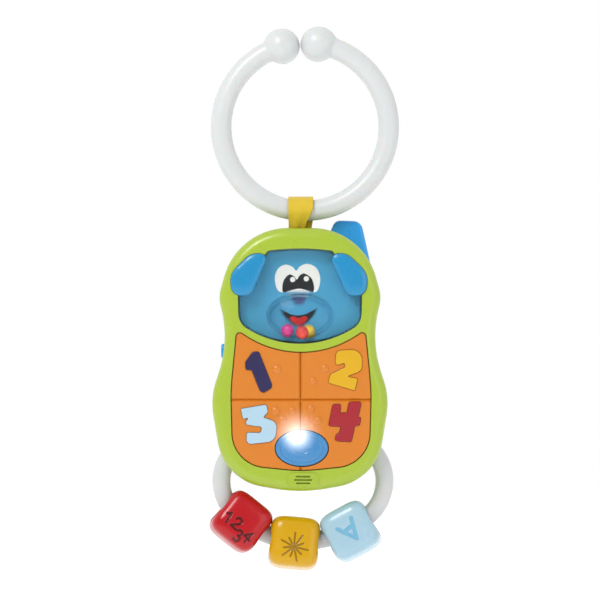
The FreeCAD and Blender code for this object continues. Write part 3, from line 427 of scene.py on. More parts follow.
@dataclass
class Patch:
    """Points of a surface and the faces between them."""

    points: np.ndarray
    quads: np.ndarray = field(default_factory=lambda: np.zeros((0, 4), int))
    triangles: np.ndarray = field(default_factory=lambda: np.zeros((0, 3), int))

    def volume(self) -> float:
        """Returns the signed volume inside the faces, positive where they face outwards."""
        halves = np.concatenate([self.quads[:, [0, 1, 2]], self.quads[:, [0, 2, 3]], self.triangles])
        first, second, third = (self.points[halves[:, i]] for i in range(3))
        return float((first * np.cross(second, third)).sum() / 6)

    def facing_out(self) -> "Patch":
        """Returns the closed surface with its faces turned outwards."""
        if self.volume() >= 0:
            return self
        return Patch(self.points, self.quads[:, ::-1], self.triangles[:, ::-1])


def grid(points: np.ndarray, wrap_rows: bool = False, wrap_columns: bool = False) -> Patch:
    """Joins a grid of points with quads.

    Args:
        points: rows by columns by three.
        wrap_rows: whether the last row joins the first.
        wrap_columns: whether the last column joins the first.

    Returns:
        The surface.
    """
    rows, columns = points.shape[:2]
    index = np.arange(rows * columns).reshape(rows, columns)
    if wrap_rows:
        index = np.concatenate([index, index[:1]])
    if wrap_columns:
        index = np.concatenate([index, index[:, :1]], axis=1)
    quads = np.stack([index[:-1, :-1], index[:-1, 1:], index[1:, 1:], index[1:, :-1]], axis=-1)
    return Patch(points.reshape(-1, 3), quads.reshape(-1, 4))


def capped(rings: np.ndarray, first_pole: np.ndarray, last_pole: np.ndarray) -> Patch:
    """Joins a stack of closed rings with quads and closes both ends at a pole.

    Args:
        rings: rings by points round each ring by three.
        first_pole: the point that closes the first ring.
        last_pole: the point that closes the last ring.

    Returns:
        The closed surface, facing outwards.
    """
    body = grid(rings, wrap_columns=True)
    count = rings.shape[1]
    start, end = len(body.points), len(body.points) + 1
    ring = np.arange(count)
    following = np.roll(ring, -1)
    last = ring + (len(rings) - 1) * count
    near = np.stack([np.full(count, start), following, ring], axis=1)
    far = np.stack([np.full(count, end), last, np.roll(last, -1)], axis=1)
    points = np.concatenate([body.points, first_pole[None], last_pole[None]])
    return Patch(points, body.quads, np.concatenate([near, far])).facing_out()


def on_phone(across: np.ndarray, up: np.ndarray, depth: np.ndarray | float) -> np.ndarray:
    """Places points drawn about the phone's middle into the part's frame, in metres.

    Args:
        across: distances to the right of the phone's axis, in millimetres.
        up: distances above its middle, in millimetres.
        depth: distances in front of the covers' parting plane, in millimetres.

    Returns:
        The points, with the three coordinates last.
    """
    depth = np.broadcast_to(depth, np.shape(across))
    return np.stack([across + PHONE_AXIS, -depth, up + PHONE_MIDDLE], axis=-1) * MM


def make_piece(name: str, patch: Patch, finish: bpy.types.Material | None = None,
               marks: np.ndarray | None = None, spread: np.ndarray | None = None) -> bpy.types.Object:
    """Makes one smooth mesh object at the origin.

    Args:
        name: the piece's name.
        patch: its points and faces, in metres.
        finish: its material.
        marks: how deep in an engraved mark each point is, from 0 to 1.
        spread: the flat map's two coordinates at each point.

    Returns:
        The object.
    """
    mesh = bpy.data.meshes.new(name)
    loops = np.concatenate([patch.quads.ravel(), patch.triangles.ravel()])
    sides = np.concatenate([np.full(len(patch.quads), 4), np.full(len(patch.triangles), 3)])
    mesh.vertices.add(len(patch.points))
    mesh.vertices.foreach_set("co", patch.points.astype(np.float32).ravel())
    mesh.loops.add(len(loops))
    mesh.loops.foreach_set("vertex_index", loops.astype(np.int32))
    mesh.polygons.add(len(sides))
    mesh.polygons.foreach_set("loop_start", (np.cumsum(sides) - sides).astype(np.int32))
    mesh.polygons.foreach_set("use_smooth", np.ones(len(sides), bool))
    if marks is not None:
        mesh.attributes.new("engraved", "FLOAT", "POINT").data.foreach_set("value", marks.astype(np.float32))
    if spread is not None:
        mesh.uv_layers.new(name="spread").data.foreach_set("uv", spread[loops].astype(np.float32).ravel())
    mesh.update(calc_edges=True)
    mesh.validate()
    if finish is not None:
        mesh.materials.append(finish)
    piece = bpy.data.objects.new(name, mesh)
    bpy.context.scene.collection.objects.link(piece)
    return piece


def mounted(piece: bpy.types.Object, body: str, slot: str, *replaced: str) -> bpy.types.Object:
    """Rides a piece on its body and hides the CAD solids it stands for.

    Args:
        piece: the piece.
        body: the body it moves with.
        slot: its material slot; not used.
        replaced: the CAD nodes it stands for.

    Returns:
        The piece.
    """
    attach(piece, body)
    if replaced:
        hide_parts(*replaced)
    LOG.info("%s rides on %s, %d faces", piece.name, body, len(piece.data.polygons))
    return piece


def even_loop(loop: np.ndarray, count: int) -> np.ndarray:
    """Spaces points evenly along a closed line.

    Args:
        loop: the line's points, the last not repeating the first.
        count: how many points to return.

    Returns:
        Points across and up.
    """
    closed = np.concatenate([loop, loop[:1]])
    along = np.concatenate([[0.0], np.cumsum(np.linalg.norm(np.diff(closed, axis=0), axis=1))])
    wanted = np.linspace(0.0, along[-1], count, endpoint=False)
    return np.stack([np.interp(wanted, along, closed[:, i]) for i in range(2)], axis=1)


def rounded_loop(corners: Corners, count: int = 240, outside: float = 0.0) -> np.ndarray:
    """Rounds a closed outline's corners to their radii.

    Each corner gives way to the arc of its radius that touches both sides: the arc's centre is on
    the bisector, the radius over the sine of half the corner's angle away.

    Args:
        corners: across, up and radius of each corner, in millimetres.
        count: how many points to return.
        outside: how far outside the outline the loop runs.

    Returns:
        Points across and up, evenly spaced.
    """
    table = np.array(corners, float)
    place, radius = table[:, :2], table[:, 2:]
    before, after = np.roll(place, 1, axis=0) - place, np.roll(place, -1, axis=0) - place
    before /= np.linalg.norm(before, axis=1, keepdims=True)
    after /= np.linalg.norm(after, axis=1, keepdims=True)
    half = np.arccos(np.clip((before * after).sum(axis=1, keepdims=True), -1, 1)) / 2
    bisector = (before + after) / np.linalg.norm(before + after, axis=1, keepdims=True)
    centre = place + bisector * radius / np.sin(half)
    start = place + before * radius / np.tan(half) - centre
    end = place + after * radius / np.tan(half) - centre
    turn = math.pi - 2 * half
    share = np.linspace(0, 1, 24)[None, :, None]
    turn_there = turn[:, :, None]
    arc = (start[:, None] * np.sin((1 - share) * turn_there) + end[:, None] * np.sin(share * turn_there))
    loop = even_loop((centre[:, None] + arc / np.sin(turn_there)).reshape(-1, 2), count)
    if outside:
        along = np.roll(loop, -1, axis=0) - np.roll(loop, 1, axis=0)
        out = np.stack([along[:, 1], -along[:, 0]], axis=1) / np.linalg.norm(along, axis=1, keepdims=True)
        area = (loop[:, 0] * np.roll(loop[:, 1], -1) - np.roll(loop[:, 0], -1) * loop[:, 1]).sum()
        loop = loop + out * outside * np.sign(area)
    return loop


def smooth_loop(points: Points2, count: int = 160) -> np.ndarray:
    """Carries a closed Catmull-Rom curve through a few points.

    Args:
        points: across and up of each point, in millimetres.
        count: how many points to return.

    Returns:
        Points across and up, evenly spaced.
    """
    knot = np.array(points, float)
    share = np.linspace(0, 1, 16, endpoint=False)[None, :, None]
    previous, following, beyond = (np.roll(knot, shift, axis=0)[:, None] for shift in (1, -1, -2))
    here = knot[:, None]
    curve = 0.5 * (2 * here + (following - previous) * share
                   + (2 * previous - 5 * here + 4 * following - beyond) * share ** 2
                   + (3 * here - previous - 3 * following + beyond) * share ** 3)
    return even_loop(curve.reshape(-1, 2), count)


def oval_loop(middle: tuple[float, float], long_half: float, short_half: float,
              count: int = 160) -> np.ndarray:
    """Draws an ellipse with its long axis across.

    Args:
        middle: its middle, across and up, in millimetres.
        long_half: half its width.
        short_half: half its height.
        count: how many points to return.

    Returns:
        Points across and up.
    """
    turn = np.linspace(0, 2 * math.pi, count, endpoint=False)
    return np.stack([middle[0] + long_half * np.cos(turn), middle[1] + short_half * np.sin(turn)], axis=1)


def pillow(loop: np.ndarray, back: float, rim: float, front: float, power: float = 2.2, rings: int = 26,
           middle: tuple[float, float] | None = None) -> Patch:
    """A closed pad: an outline with a flat back, an upright side and a crowned front.

    At the share s of the way from the middle to the outline, the front stands at
    rim + (front - rim) * (1 - s^power)^(1 / power).

    Args:
        loop: the outline, across and up, in millimetres.
        back: depth of the flat back.
        rim: depth where the side meets the crown.
        front: depth at the crown's middle.
        power: 2 for a dome, larger for a flatter top with a tighter edge.
        rings: how many rings the crown has.
        middle: the point that the outline shrinks to, or None for the mean of its points.

    Returns:
        The closed surface in the part's frame.
    """
    heart = np.array(middle if middle is not None else loop.mean(axis=0))
    share = np.sin(np.linspace(0.04, 1, rings) * math.pi / 2)
    depth = rim + (front - rim) * np.clip(1 - share ** power, 0, 1) ** (1 / power)
    share = np.concatenate([share, [1.0, 0.985, 0.5]])
    depth = np.concatenate([depth, [back + 0.3 * (rim - back), back, back]])
    flat = heart + (loop - heart)[None] * share[:, None, None]
    rings_there = on_phone(flat[..., 0], flat[..., 1], depth[:, None])
    ends = on_phone(heart[[0, 0]], heart[[1, 1]], np.array([front, back]))
    return capped(rings_there, ends[0], ends[1])


def swept_circle(path: np.ndarray, side: np.ndarray, up: np.ndarray, radius: np.ndarray,
                 around: int) -> np.ndarray:
    """Rings of a round section carried along a path.

    Args:
        path: the centre line's points.
        side: a unit vector across the path at each point.
        up: a unit vector across both at each point.
        radius: the section's radius at each point.
        around: points round each ring.

    Returns:
        Rings by points by three.
    """
    turn = np.linspace(0, 2 * math.pi, around, endpoint=False)[None, :, None]
    spread = side[:, None] * np.cos(turn) + up[:, None] * np.sin(turn)
    return path[:, None] + spread * radius[:, None, None]


# ---------------------------------------------------------------- ring and ribbon

@dataclass
class HangingRing:
    """White C-shaped ring, moulded in one with a ball on each end."""

    radius: float = 33.5
    tube: float = 4.1
    ball: float = 7.1
    gap_turn: float = 3.4
    ball_turn: float = 12.5
    neck_blend: float = 0.8
    finish: MouldedPlastic = MouldedPlastic(
        "ring_polypropylene", "#CBCECE", "#C8CBCB", roughness=0.34, peel_depth=0.008, subsurface=0.25)

    def shape(self) -> Patch:
        """The tube's radius is the soft maximum of the tube's own and the ball's, measured along the arc.

        Past each ball's centre the path runs on straight, so that the ball's end stays round.
        """
        half = math.radians(self.ball_turn)
        first = math.radians(90 + self.gap_turn) + half
        sweep = 2 * math.pi - 2 * half
        near = np.linspace(0, 2.2 * self.ball / self.radius, 60)
        turn = np.concatenate([near, np.linspace(near[-1], sweep - near[-1], 340)[1:-1], sweep - near[::-1]])
        past = np.minimum(turn, sweep - turn) * self.radius
        ball = np.sqrt(np.clip(self.ball ** 2 - past ** 2, 0, None))
        tube = (ball + self.tube + np.sqrt((ball - self.tube) ** 2 + self.neck_blend ** 2)) / 2
        excess = self.neck_blend ** 2 / 4 / (self.ball - self.tube + tube)
        tube = np.where(past < 1e-9, self.ball, tube - excess)
        angle = first + turn
        path = self.radius * np.stack([np.cos(angle), 0 * angle, np.sin(angle)], axis=1)
        out = np.stack([np.cos(angle), 0 * angle, np.sin(angle)], axis=1)
        tip = np.linspace(0, math.pi / 2, 20)[1:-1]
        leave = np.stack([-np.sin(angle), 0 * angle, np.cos(angle)], axis=1)
        before = path[0] - leave[0] * self.ball * np.sin(tip[::-1])[:, None]
        after = path[-1] + leave[-1] * self.ball * np.sin(tip)[:, None]
        path = np.concatenate([before, path, after])
        out = np.concatenate([np.repeat(out[:1], len(tip), 0), out, np.repeat(out[-1:], len(tip), 0)])
        radius = np.concatenate([self.ball * np.cos(tip[::-1]), tube, self.ball * np.cos(tip)])
        forward = np.tile([0.0, -1.0, 0.0], (len(path), 1))
        rings = swept_circle(path, out, forward, radius, 72)
        poles = (path[len(tip)] - leave[0] * self.ball, path[-len(tip) - 1] + leave[-1] * self.ball)
        return capped(rings * MM, poles[0] * MM, poles[1] * MM)

    def build(self) -> None:
        """Builds the ring in place of its CAD solid."""
        piece = make_piece("hanging_ring", self.shape(), self.finish.build())
        mounted(piece, "ring", "ring_plastic", "hang_ring")


@dataclass
class RibbonStrap:
    """Yellow woven ribbon that goes up the front, over the ring's tube and down behind into the phone."""

    cut_width: float = 10.0
    neck_width: float = 6.6
    thickness: float = 0.55
    across: float = 0.3
    tube_middle: float = 59.7
    tube_clear: float = 5.2
    foot: float = 47.5
    foot_gap: float = 1.0
    mouth: float = 52.3

    def centre_line(self) -> np.ndarray:
        """Forward and up coordinates: a straight front leg, an arc over the tube and the back leg."""
        rise = self.tube_middle - self.foot
        lean = math.atan2(self.tube_clear - self.foot_gap, rise) + 0.02
        over = np.linspace(-lean, math.pi + lean, 90)
        arc = self.tube_clear * np.stack([np.cos(over), np.sin(over)], axis=1)
        arc[:, 1] += self.tube_middle
        share = np.linspace(0, 1, 60)[:-1, None]
        front = np.array([self.foot_gap, self.foot]) * (1 - share) + arc[0] * share
        back = arc[-1] * (1 - share) + np.array([-self.foot_gap, self.foot]) * share
        return np.concatenate([front, arc, back[1:]])

    def shape(self) -> tuple[Patch, np.ndarray, float]:
        """The ribbon is drawn in towards the mouth, and its edges curl back where it is gathered.

        Its half width is half the cut width times 1 - k * fall, where fall goes smoothly from 0 over
        the tube to 1 at the mouth; the edges lie back by a share of the same fall.

        Returns:
            The surface, its flat map and the ribbon's length in millimetres.
        """
        line = self.centre_line()
        step = np.diff(line, axis=0)
        along = np.concatenate([[0.0], np.cumsum(np.linalg.norm(step, axis=1))])
        heading = np.gradient(line, axis=0)
        heading /= np.linalg.norm(heading, axis=1, keepdims=True)
        out = np.stack([heading[:, 1], -heading[:, 0]], axis=1)
        out *= np.sign((out * (line - np.array([0.0, self.tube_middle]))).sum(axis=1, keepdims=True))
        fall = np.clip((self.tube_middle + 1.5 - line[:, 1]) / (self.tube_middle + 1.5 - self.mouth), 0, 1)
        fall = fall * fall * (3 - 2 * fall)
        share = np.linspace(-1, 1, 25)
        half = self.cut_width / 2 * (1 - (1 - self.neck_width / self.cut_width) * fall)
        behind = np.clip(-line[:, 0] / self.tube_clear, 0, 1)
        sway = -1.5 * fall * np.clip(line[:, 0], 0, 1) + 1.9 * fall * behind
        x = self.across + sway[:, None] + half[:, None] * share[None]
        ripple = 0.35 * fall[:, None] * np.cos(1.5 * math.pi * share[None] + 0.6)
        ripple -= 0.5 * fall[:, None] * share[None] ** 4
        forward = line[:, :1] + out[:, :1] * ripple
        up = line[:, 1:] + out[:, 1:] * ripple
        patch = grid(on_phone(x, up, forward))
        flat = np.stack(np.broadcast_arrays((share[None] + 1) / 2, along[:, None] / along[-1]), axis=-1)
        return patch, flat.reshape(-1, 2), float(along[-1])

    def build(self) -> None:
        """Builds the ribbon in place of its CAD solid and gives it its thickness."""
        patch, flat, length = self.shape()
        # the darker second colour is painted shade in the weave's hollows
        finish = WovenRibbon("woven_polyester_ribbon", "#E9CC22", "#C9A818", 0.45, self.cut_width, length)
        piece = make_piece("ribbon_strap", patch, finish.build(), spread=flat)
        wall = piece.modifiers.new("thickness", "SOLIDIFY")
        wall.thickness = self.thickness * MM
        wall.offset = 0.0
        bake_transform(piece)
        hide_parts("strap")
        LOG.info("ribbon_strap is %.1f mm long", length)


# ---------------------------------------------------------------- puppy window

EAR_RIGHT = [
    (11.9, 41.7, 2.3), (18.7, 42.4, 6.8), (27.3, 34.1, 7.7),
    (26.3, 25.3, 4.0), (18.8, 25.6, 3.8), (15.3, 33.5, 11.0),
]


class Side(Enum):
    """Which side of the phone's axis a piece is on."""

    LEFT = -1
    RIGHT = 1


@dataclass
class PuppyEars:
    """Two blue ears, puffed up out of the green cover either side of the window."""

    back: float = 9.5
    rim: float = 12.7
    front: float = 14.4
    outside: float = -0.02
    axis: float = -0.4
    finish: MouldedPlastic = MouldedPlastic(
        "ear_abs", "#0982B4", "#0A86B9", roughness=0.26, subsurface=0.12, coat=0.2)

    def shape(self, side: Side) -> Patch:
        """A pillow on the ear's outline, mirrored for the left one.

        Args:
            side: which ear it is.

        Returns:
            The closed surface.
        """
        loop = rounded_loop(EAR_RIGHT, outside=self.outside) * np.array([side.value, 1.0])
        loop[:, 0] += self.axis
        return pillow(loop, self.back, self.rim, self.front, power=3.2)

    def build(self) -> None:
        """Builds both ears in place of their CAD solids."""
        finish = self.finish.build()
        for side in Side:
            name = side.name.lower()
            piece = make_piece("puffed_ear_" + name, self.shape(side), finish)
            mounted(piece, "phone", "ear_blue", "ear_" + name)


@dataclass
class PrintedFace:
    """The puppy's printed eyes, nose, mouth and tongue, thin films of ink on the blue face plate.

    The eyes are on the plate's front and the nose and mouth on the floor of the muzzle's bowl.
    """

    plate_front: float = 7.4
    bowl_floor: float = 4.4
    film: float = 0.06
    eye_white: Points2 = (
        (-5.6, 37.8), (-8.4, 36.5), (-9.9, 33.4), (-9.6, 29.6), (-8.1, 27.1), (-4.6, 26.9), (-0.9, 27.0),
        (3.4, 26.9), (6.4, 27.1), (7.7, 29.5), (7.95, 33.1), (6.4, 36.6), (2.9, 38.15), (0.0, 37.1),
        (-1.5, 35.4), (-3.0, 36.9))
    pupils: Points2 = (
        (-4.2, 33.9), (-6.2, 32.0), (-7.0, 29.2), (-6.75, 27.0), (-5.6, 26.9), (-3.6, 27.6), (-0.2, 28.3),
        (3.0, 27.5), (4.6, 26.9), (5.3, 27.1), (5.55, 29.2), (4.5, 32.4), (1.7, 34.3), (-0.2, 33.4),
        (-1.2, 31.9), (-2.3, 33.1))
    glints: Points2 = ((-2.9, 31.9), (2.5, 32.2))
    glint_radius: float = 1.05
    nose: Points2 = (
        (-3.4, 24.6), (-2.2, 25.0), (-0.4, 25.1), (1.5, 25.0), (2.6, 24.6), (1.6, 23.0), (-0.4, 22.3),
        (-2.4, 23.0))
    mouth: Points2 = (
        (-7.7, 20.1), (-7.0, 19.5), (-4.0, 18.2), (-0.6, 17.7), (2.8, 18.4), (5.8, 19.8), (6.6, 20.5),
        (6.1, 18.6), (4.0, 15.9), (1.4, 13.7), (-0.6, 13.1), (-2.5, 13.8), (-5.1, 16.0), (-7.0, 18.2))
    tongue: Points2 = (
        (-4.0, 16.6), (-2.5, 17.3), (-0.5, 16.6), (1.5, 17.3), (3.1, 16.7), (1.7, 14.8), (-0.5, 13.5),
        (-2.8, 14.8))

    def film_on(self, name: str, loop: np.ndarray, floor: float, layer: int,
                middle: tuple[float, float], finish: bpy.types.Material) -> None:
        """Lays one film of ink.

        Args:
            name: the piece's name.
            loop: its outline, across and up, in millimetres.
            floor: depth of the surface it is printed on.
            layer: how many films are under it.
            middle: a point that sees the whole outline.
            finish: its material.
        """
        back = floor + 0.01 + layer * self.film
        rim = back + 0.6 * self.film
        patch = pillow(loop, back, rim, back + self.film, power=6.0, rings=10, middle=middle)
        mounted(make_piece(name, patch, finish), "phone", "face_blue")

    def build(self) -> None:
        """Prints every film, from the plate outwards."""
        white = PrintedInk("ink_white", "#F2F1EC", "#E9E8E2").build()
        black = PrintedInk("ink_black", "#16181C", "#1E2024", roughness=0.3).build()
        red = PrintedInk("ink_red", "#D8151F", "#C9141E").build()
        violet = PrintedInk("ink_violet", "#3E2A5C", "#5A3A82", roughness=0.3).build()
        front, floor = self.plate_front, self.bowl_floor
        self.film_on("printed_eye_whites", smooth_loop(self.eye_white), front, 0, (-1.0, 31.0), white)
        self.film_on("printed_pupils", smooth_loop(self.pupils), front, 1, (-0.8, 29.6), black)
        for name, middle in zip(("left", "right"), self.glints):
            loop = oval_loop(middle, self.glint_radius, self.glint_radius, 48)
            self.film_on("printed_glint_" + name, loop, front, 2, middle, white)
        self.film_on("printed_nose", smooth_loop(self.nose), floor, 0, (-0.4, 23.8), violet)
        self.film_on("printed_mouth", smooth_loop(self.mouth), floor, 0, (-0.6, 16.6), black)
        self.film_on("printed_tongue", smooth_loop(self.tongue), floor, 1, (-0.5, 15.4), red)


WINDOW_CORNERS = [
    (0.0, 44.6, 90.0), (12.6, 43.1, 1.0), (24.4, 28.0, 3.0), (24.1, 14.4, 7.0), (0.0, 1.2, 39.0),
    (-24.1, 14.4, 7.0), (-24.4, 28.0, 3.0), (-12.6, 43.1, 1.0),
]


@dataclass
class ClearWindow:
    """Clear window: a flat plate with a bevelled border and a thin-walled dome over the muzzle.

    Every ring is drawn on the rays from the muzzle's middle. Inside the muzzle's oval the height
    falls as a power of one minus a power of the share of the way out, so that the dome runs softly
    into the plate; outside it the plate is flat, with a step just inside its edge.
    """

    middle: tuple[float, float] = (0.0, 17.5)
    long_half: float = 14.4
    short_half: float = 10.3
    back: float = 9.4
    plate: float = 12.0
    dome: float = 15.8
    wall: float = 1.1
    border: float = 1.7
    step: float = 0.7
    crown_power: float = 2.8
    crown_fall: float = 1.15
    finish: ClearPlastic = ClearPlastic("window_polycarbonate", "#F8FCFD")

    def crown(self, share: float) -> float:
        """Works out the dome's height as a part of its full height.

        Args:
            share: the share of the way from the muzzle's middle to its oval.

        Returns:
            One minus the share to the crown's power, raised to the crown's fall.
        """
        return (1 - share ** self.crown_power) ** self.crown_fall

    def shape(self) -> Patch:
        """The outer skin from the crown to the edge, then the back and the dome's inner skin."""
        loop = rounded_loop(WINDOW_CORNERS, 360, outside=-0.02)
        away = loop - np.array(self.middle)
        edge = np.hypot(away[:, 0], away[:, 1])
        ray = away / edge[:, None]
        oval = 1 / np.hypot(ray[:, 0] / self.long_half, ray[:, 1] / self.short_half)
        edge = np.maximum(edge, oval + 0.4)
        border = np.minimum(self.border, (edge - oval) * 0.6)
        reach, depth = [], []
        for share in np.sin(np.linspace(0, math.pi / 2, 40)[1:]):
            reach.append(oval * share)
            depth.append(self.plate + (self.dome - self.plate) * self.crown(share))
        for part in (0.05, 0.5, 0.97, 1.0):
            reach.append(oval + (edge - border - oval) * part)
            depth.append(self.plate)
        for part, height in ((0.18, -1.0), (0.22, -1.0), (0.8, -1.0), (0.93, -1.1), (1.0, -2.2)):
            reach.append(edge - border * (1 - part))
            depth.append(self.plate + height * self.step)
        reach.append(edge)
        depth.append(self.back)
        inner = oval - self.wall
        for part in np.linspace(1, 0, 5)[1:]:
            reach.append(inner + (edge - inner) * part)
            depth.append(self.back)
        for share in np.sin(np.linspace(math.pi / 2, 0, 40)[1:-1]):
            reach.append(inner * share)
            depth.append(self.back + (self.dome - self.wall - self.back) * self.crown(share))
        flat = np.array(self.middle) + np.stack(reach)[..., None] * ray[None]
        rings = on_phone(flat[..., 0], flat[..., 1], np.array(depth)[:, None])
        crown = on_phone(np.array([self.middle[0]] * 2), np.array([self.middle[1]] * 2),
                         np.array([self.dome, self.dome - self.wall]))
        return capped(rings, crown[0], crown[1])

    def build(self) -> None:
        """Builds the window in place of its CAD solid."""
        piece = make_piece("domed_window", self.shape(), self.finish.build())
        mounted(piece, "phone", "clear_plastic", "window")


# ---------------------------------------------------------------- beads

class Marking(Enum):
    """What is engraved on a bead's front."""

    NUMBERS = "numbers"
    SUNBURST = "sunburst"
    LETTER = "letter"


def arc_stroke(middle: tuple[float, float], radius: float, first: float, last: float, count: int = 9) -> list:
    """Draws an arc of a number's stroke.

    Args:
        middle: the arc's centre.
        radius: its radius.
        first: its first angle, in degrees.
        last: its last angle, in degrees.
        count: how many points to return.

    Returns:
        Points along the arc.
    """
    turn = np.radians(np.linspace(first, last, count))
    return [(middle[0] + radius * math.cos(t), middle[1] + radius * math.sin(t)) for t in turn]


def placed(stroke: Points2, across: float, up: float, turn: float, scale: float) -> list:
    """Scales, turns and moves a stroke.

    Args:
        stroke: its points.
        across: how far it moves across, in millimetres.
        up: how far it moves up, in millimetres.
        turn: how far it turns, in degrees.
        scale: its new size, in millimetres.

    Returns:
        The stroke's points where it is engraved.
    """
    c, s = math.cos(math.radians(turn)) * scale, math.sin(math.radians(turn)) * scale
    return [(across + x * c - z * s, up + x * s + z * c) for x, z in stroke]


NUMBER_STROKES = {
    1: [[(-0.25, 0.25), (0.05, 0.5), (0.05, -0.5)]],
    2: [arc_stroke((0.0, 0.22), 0.28, 170, -40) + [(-0.3, -0.5), (0.32, -0.5)]],
    3: [arc_stroke((0.0, 0.25), 0.25, 150, -90) + arc_stroke((0.0, -0.25), 0.27, 90, -150)],
    4: [[(0.15, -0.5), (0.15, 0.5), (-0.3, -0.12), (0.35, -0.12)]],
}


@dataclass
class Bead:
    """A crowned cube with a flared bore along the handle, engraved on its front.

    The body is the superellipsoid |x|^n + |y|^n + |z|^n = h^n. Its bore runs along x, so each
    section through x is one closed line: over the outside, in at the flared mouth, along the bore
    and out at the other mouth. Marks are sunk by the depth times a smooth step of the distance to
    their strokes.
    """

    name: str
    node: str
    body: str
    swing: float
    finish: EngravedPlastic
    marking: Marking
    half: float = 10.1
    power: float = 4.6
    bore: float = 6.25
    mouth: float = 7.7
    flare: float = 3.2
    roll: float = 14.0
    mark_depth: float = 0.4

    def strokes(self) -> list[tuple[list, float]]:
        """Returns the marks as lines on the front, each with its half width in millimetres."""
        if self.marking is Marking.NUMBERS:
            spots = {1: (-5.4, -2.9, 6.0), 2: (-1.4, -2.6, -4.0), 3: (1.9, -6.2, 8.0), 4: (5.2, -4.2, -8.0)}
            return [(placed(line, x, z, turn, 4.4), 0.5)
                    for number, (x, z, turn) in spots.items() for line in NUMBER_STROKES[number]]
        if self.marking is Marking.LETTER:
            legs = [[(-3.5, 3.8), (0.0, -3.9), (3.5, 3.8)], [(-2.2, 1.2), (2.2, 1.2)]]
            return [(placed(line, 0.4, -1.0, 12.0, 1.0), 0.75) for line in legs]
        rays = []
        for index in range(11):
            turn = math.radians(90 + index * 360 / 11)
            long = 5.6 if index % 2 == 0 else 4.0
            rays.append(([(1.3 * math.cos(turn), 1.3 * math.sin(turn) - 2.6),
                          (long * math.cos(turn), long * math.sin(turn) - 2.6)], 0.34))
        return rays + [([(0.0, -2.6), (0.01, -2.6)], 1.0)]

    def mark_share(self, x: np.ndarray, z: np.ndarray) -> np.ndarray:
        """Works out how deep in a mark each point of the front is.

        Args:
            x: distances across, in millimetres.
            z: distances up, in millimetres.

        Returns:
            1 on a stroke and 0 outside it, with a smooth step between.
        """
        nearest = np.full(x.shape, -9.0)
        for line, half_width in self.strokes():
            knots = np.array(line)
            for first, last in zip(knots[:-1], knots[1:]):
                run = last - first
                share = np.clip(((x - first[0]) * run[0] + (z - first[1]) * run[1]) / (run @ run), 0, 1)
                away = np.hypot(x - first[0] - share * run[0], z - first[1] - share * run[1])
                nearest = np.maximum(nearest, half_width - away)
        step = np.clip((nearest + 0.14) / 0.28, 0, 1)
        return step * step * (3 - 2 * step)

    def around(self) -> np.ndarray:
        """Returns the angles round the bore, closer together across the engraved front."""
        front = np.linspace(-0.25, 0.25, 130, endpoint=False) * math.pi
        rest = np.linspace(0.25, 1.75, 110, endpoint=False) * math.pi
        return np.concatenate([front, rest]) - math.pi / 2

    def shape(self) -> tuple[Patch, np.ndarray]:
        """Returns the bead's surface in the part's frame and its engraved shares."""
        n, turn = self.power, self.around()
        face = self.half * (np.abs(np.cos(turn)) ** n + np.abs(np.sin(turn)) ** n) ** (-1 / n)
        lip = self.half * (1 - (self.mouth / face) ** n) ** (1 / n)
        edge = np.arctan2(lip / self.half, self.mouth / face)
        tilt = edge[:, None] * np.linspace(-1, 1, 130)[None]
        reach = (np.abs(np.cos(tilt)) ** n + np.abs(np.sin(tilt)) ** n) ** (-1 / n)
        outer_x, outer_r = self.half * reach * np.sin(tilt), face[:, None] * reach * np.cos(tilt)
        share = np.linspace(0, 1, 26)[1:-1]
        run = lip[:, None] * (1 - 2 * share[None])
        past = np.clip((np.abs(run) - (lip[:, None] - self.flare)) / self.flare, 0, 1)
        inner_r = self.bore + (self.mouth - self.bore) * past ** 1.5
        x = np.concatenate([outer_x, run], axis=1)
        radius = np.concatenate([outer_r, inner_r], axis=1)
        y, z = radius * np.cos(turn)[:, None], radius * np.sin(turn)[:, None]
        y, z = z, y
        on_front = (y < -0.72 * self.half) & (np.arange(x.shape[1])[None] < 130)
        marks = np.where(on_front, self.mark_share(x, z), 0.0)
        y = y + self.mark_depth * marks
        lean, roll = math.radians(-self.swing), math.radians(-self.roll)
        y, z = y * math.cos(roll) - z * math.sin(roll), y * math.sin(roll) + z * math.cos(roll)
        x, z = x * math.cos(lean) + z * math.sin(lean), -x * math.sin(lean) + z * math.cos(lean)
        low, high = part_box(self.node)
        middle = (np.array(low) + np.array(high)) / 2
        points = np.stack([x, y, z], axis=-1) * MM + middle
        return grid(points, wrap_rows=True, wrap_columns=True).facing_out(), marks.ravel()

    def build(self) -> None:
        """Builds the bead in place of its CAD solid."""
        patch, marks = self.shape()
        piece = make_piece(self.name, patch, self.finish.build(), marks=marks)
        mounted(piece, self.body, self.node, self.node)


# ---------------------------------------------------------------- light button

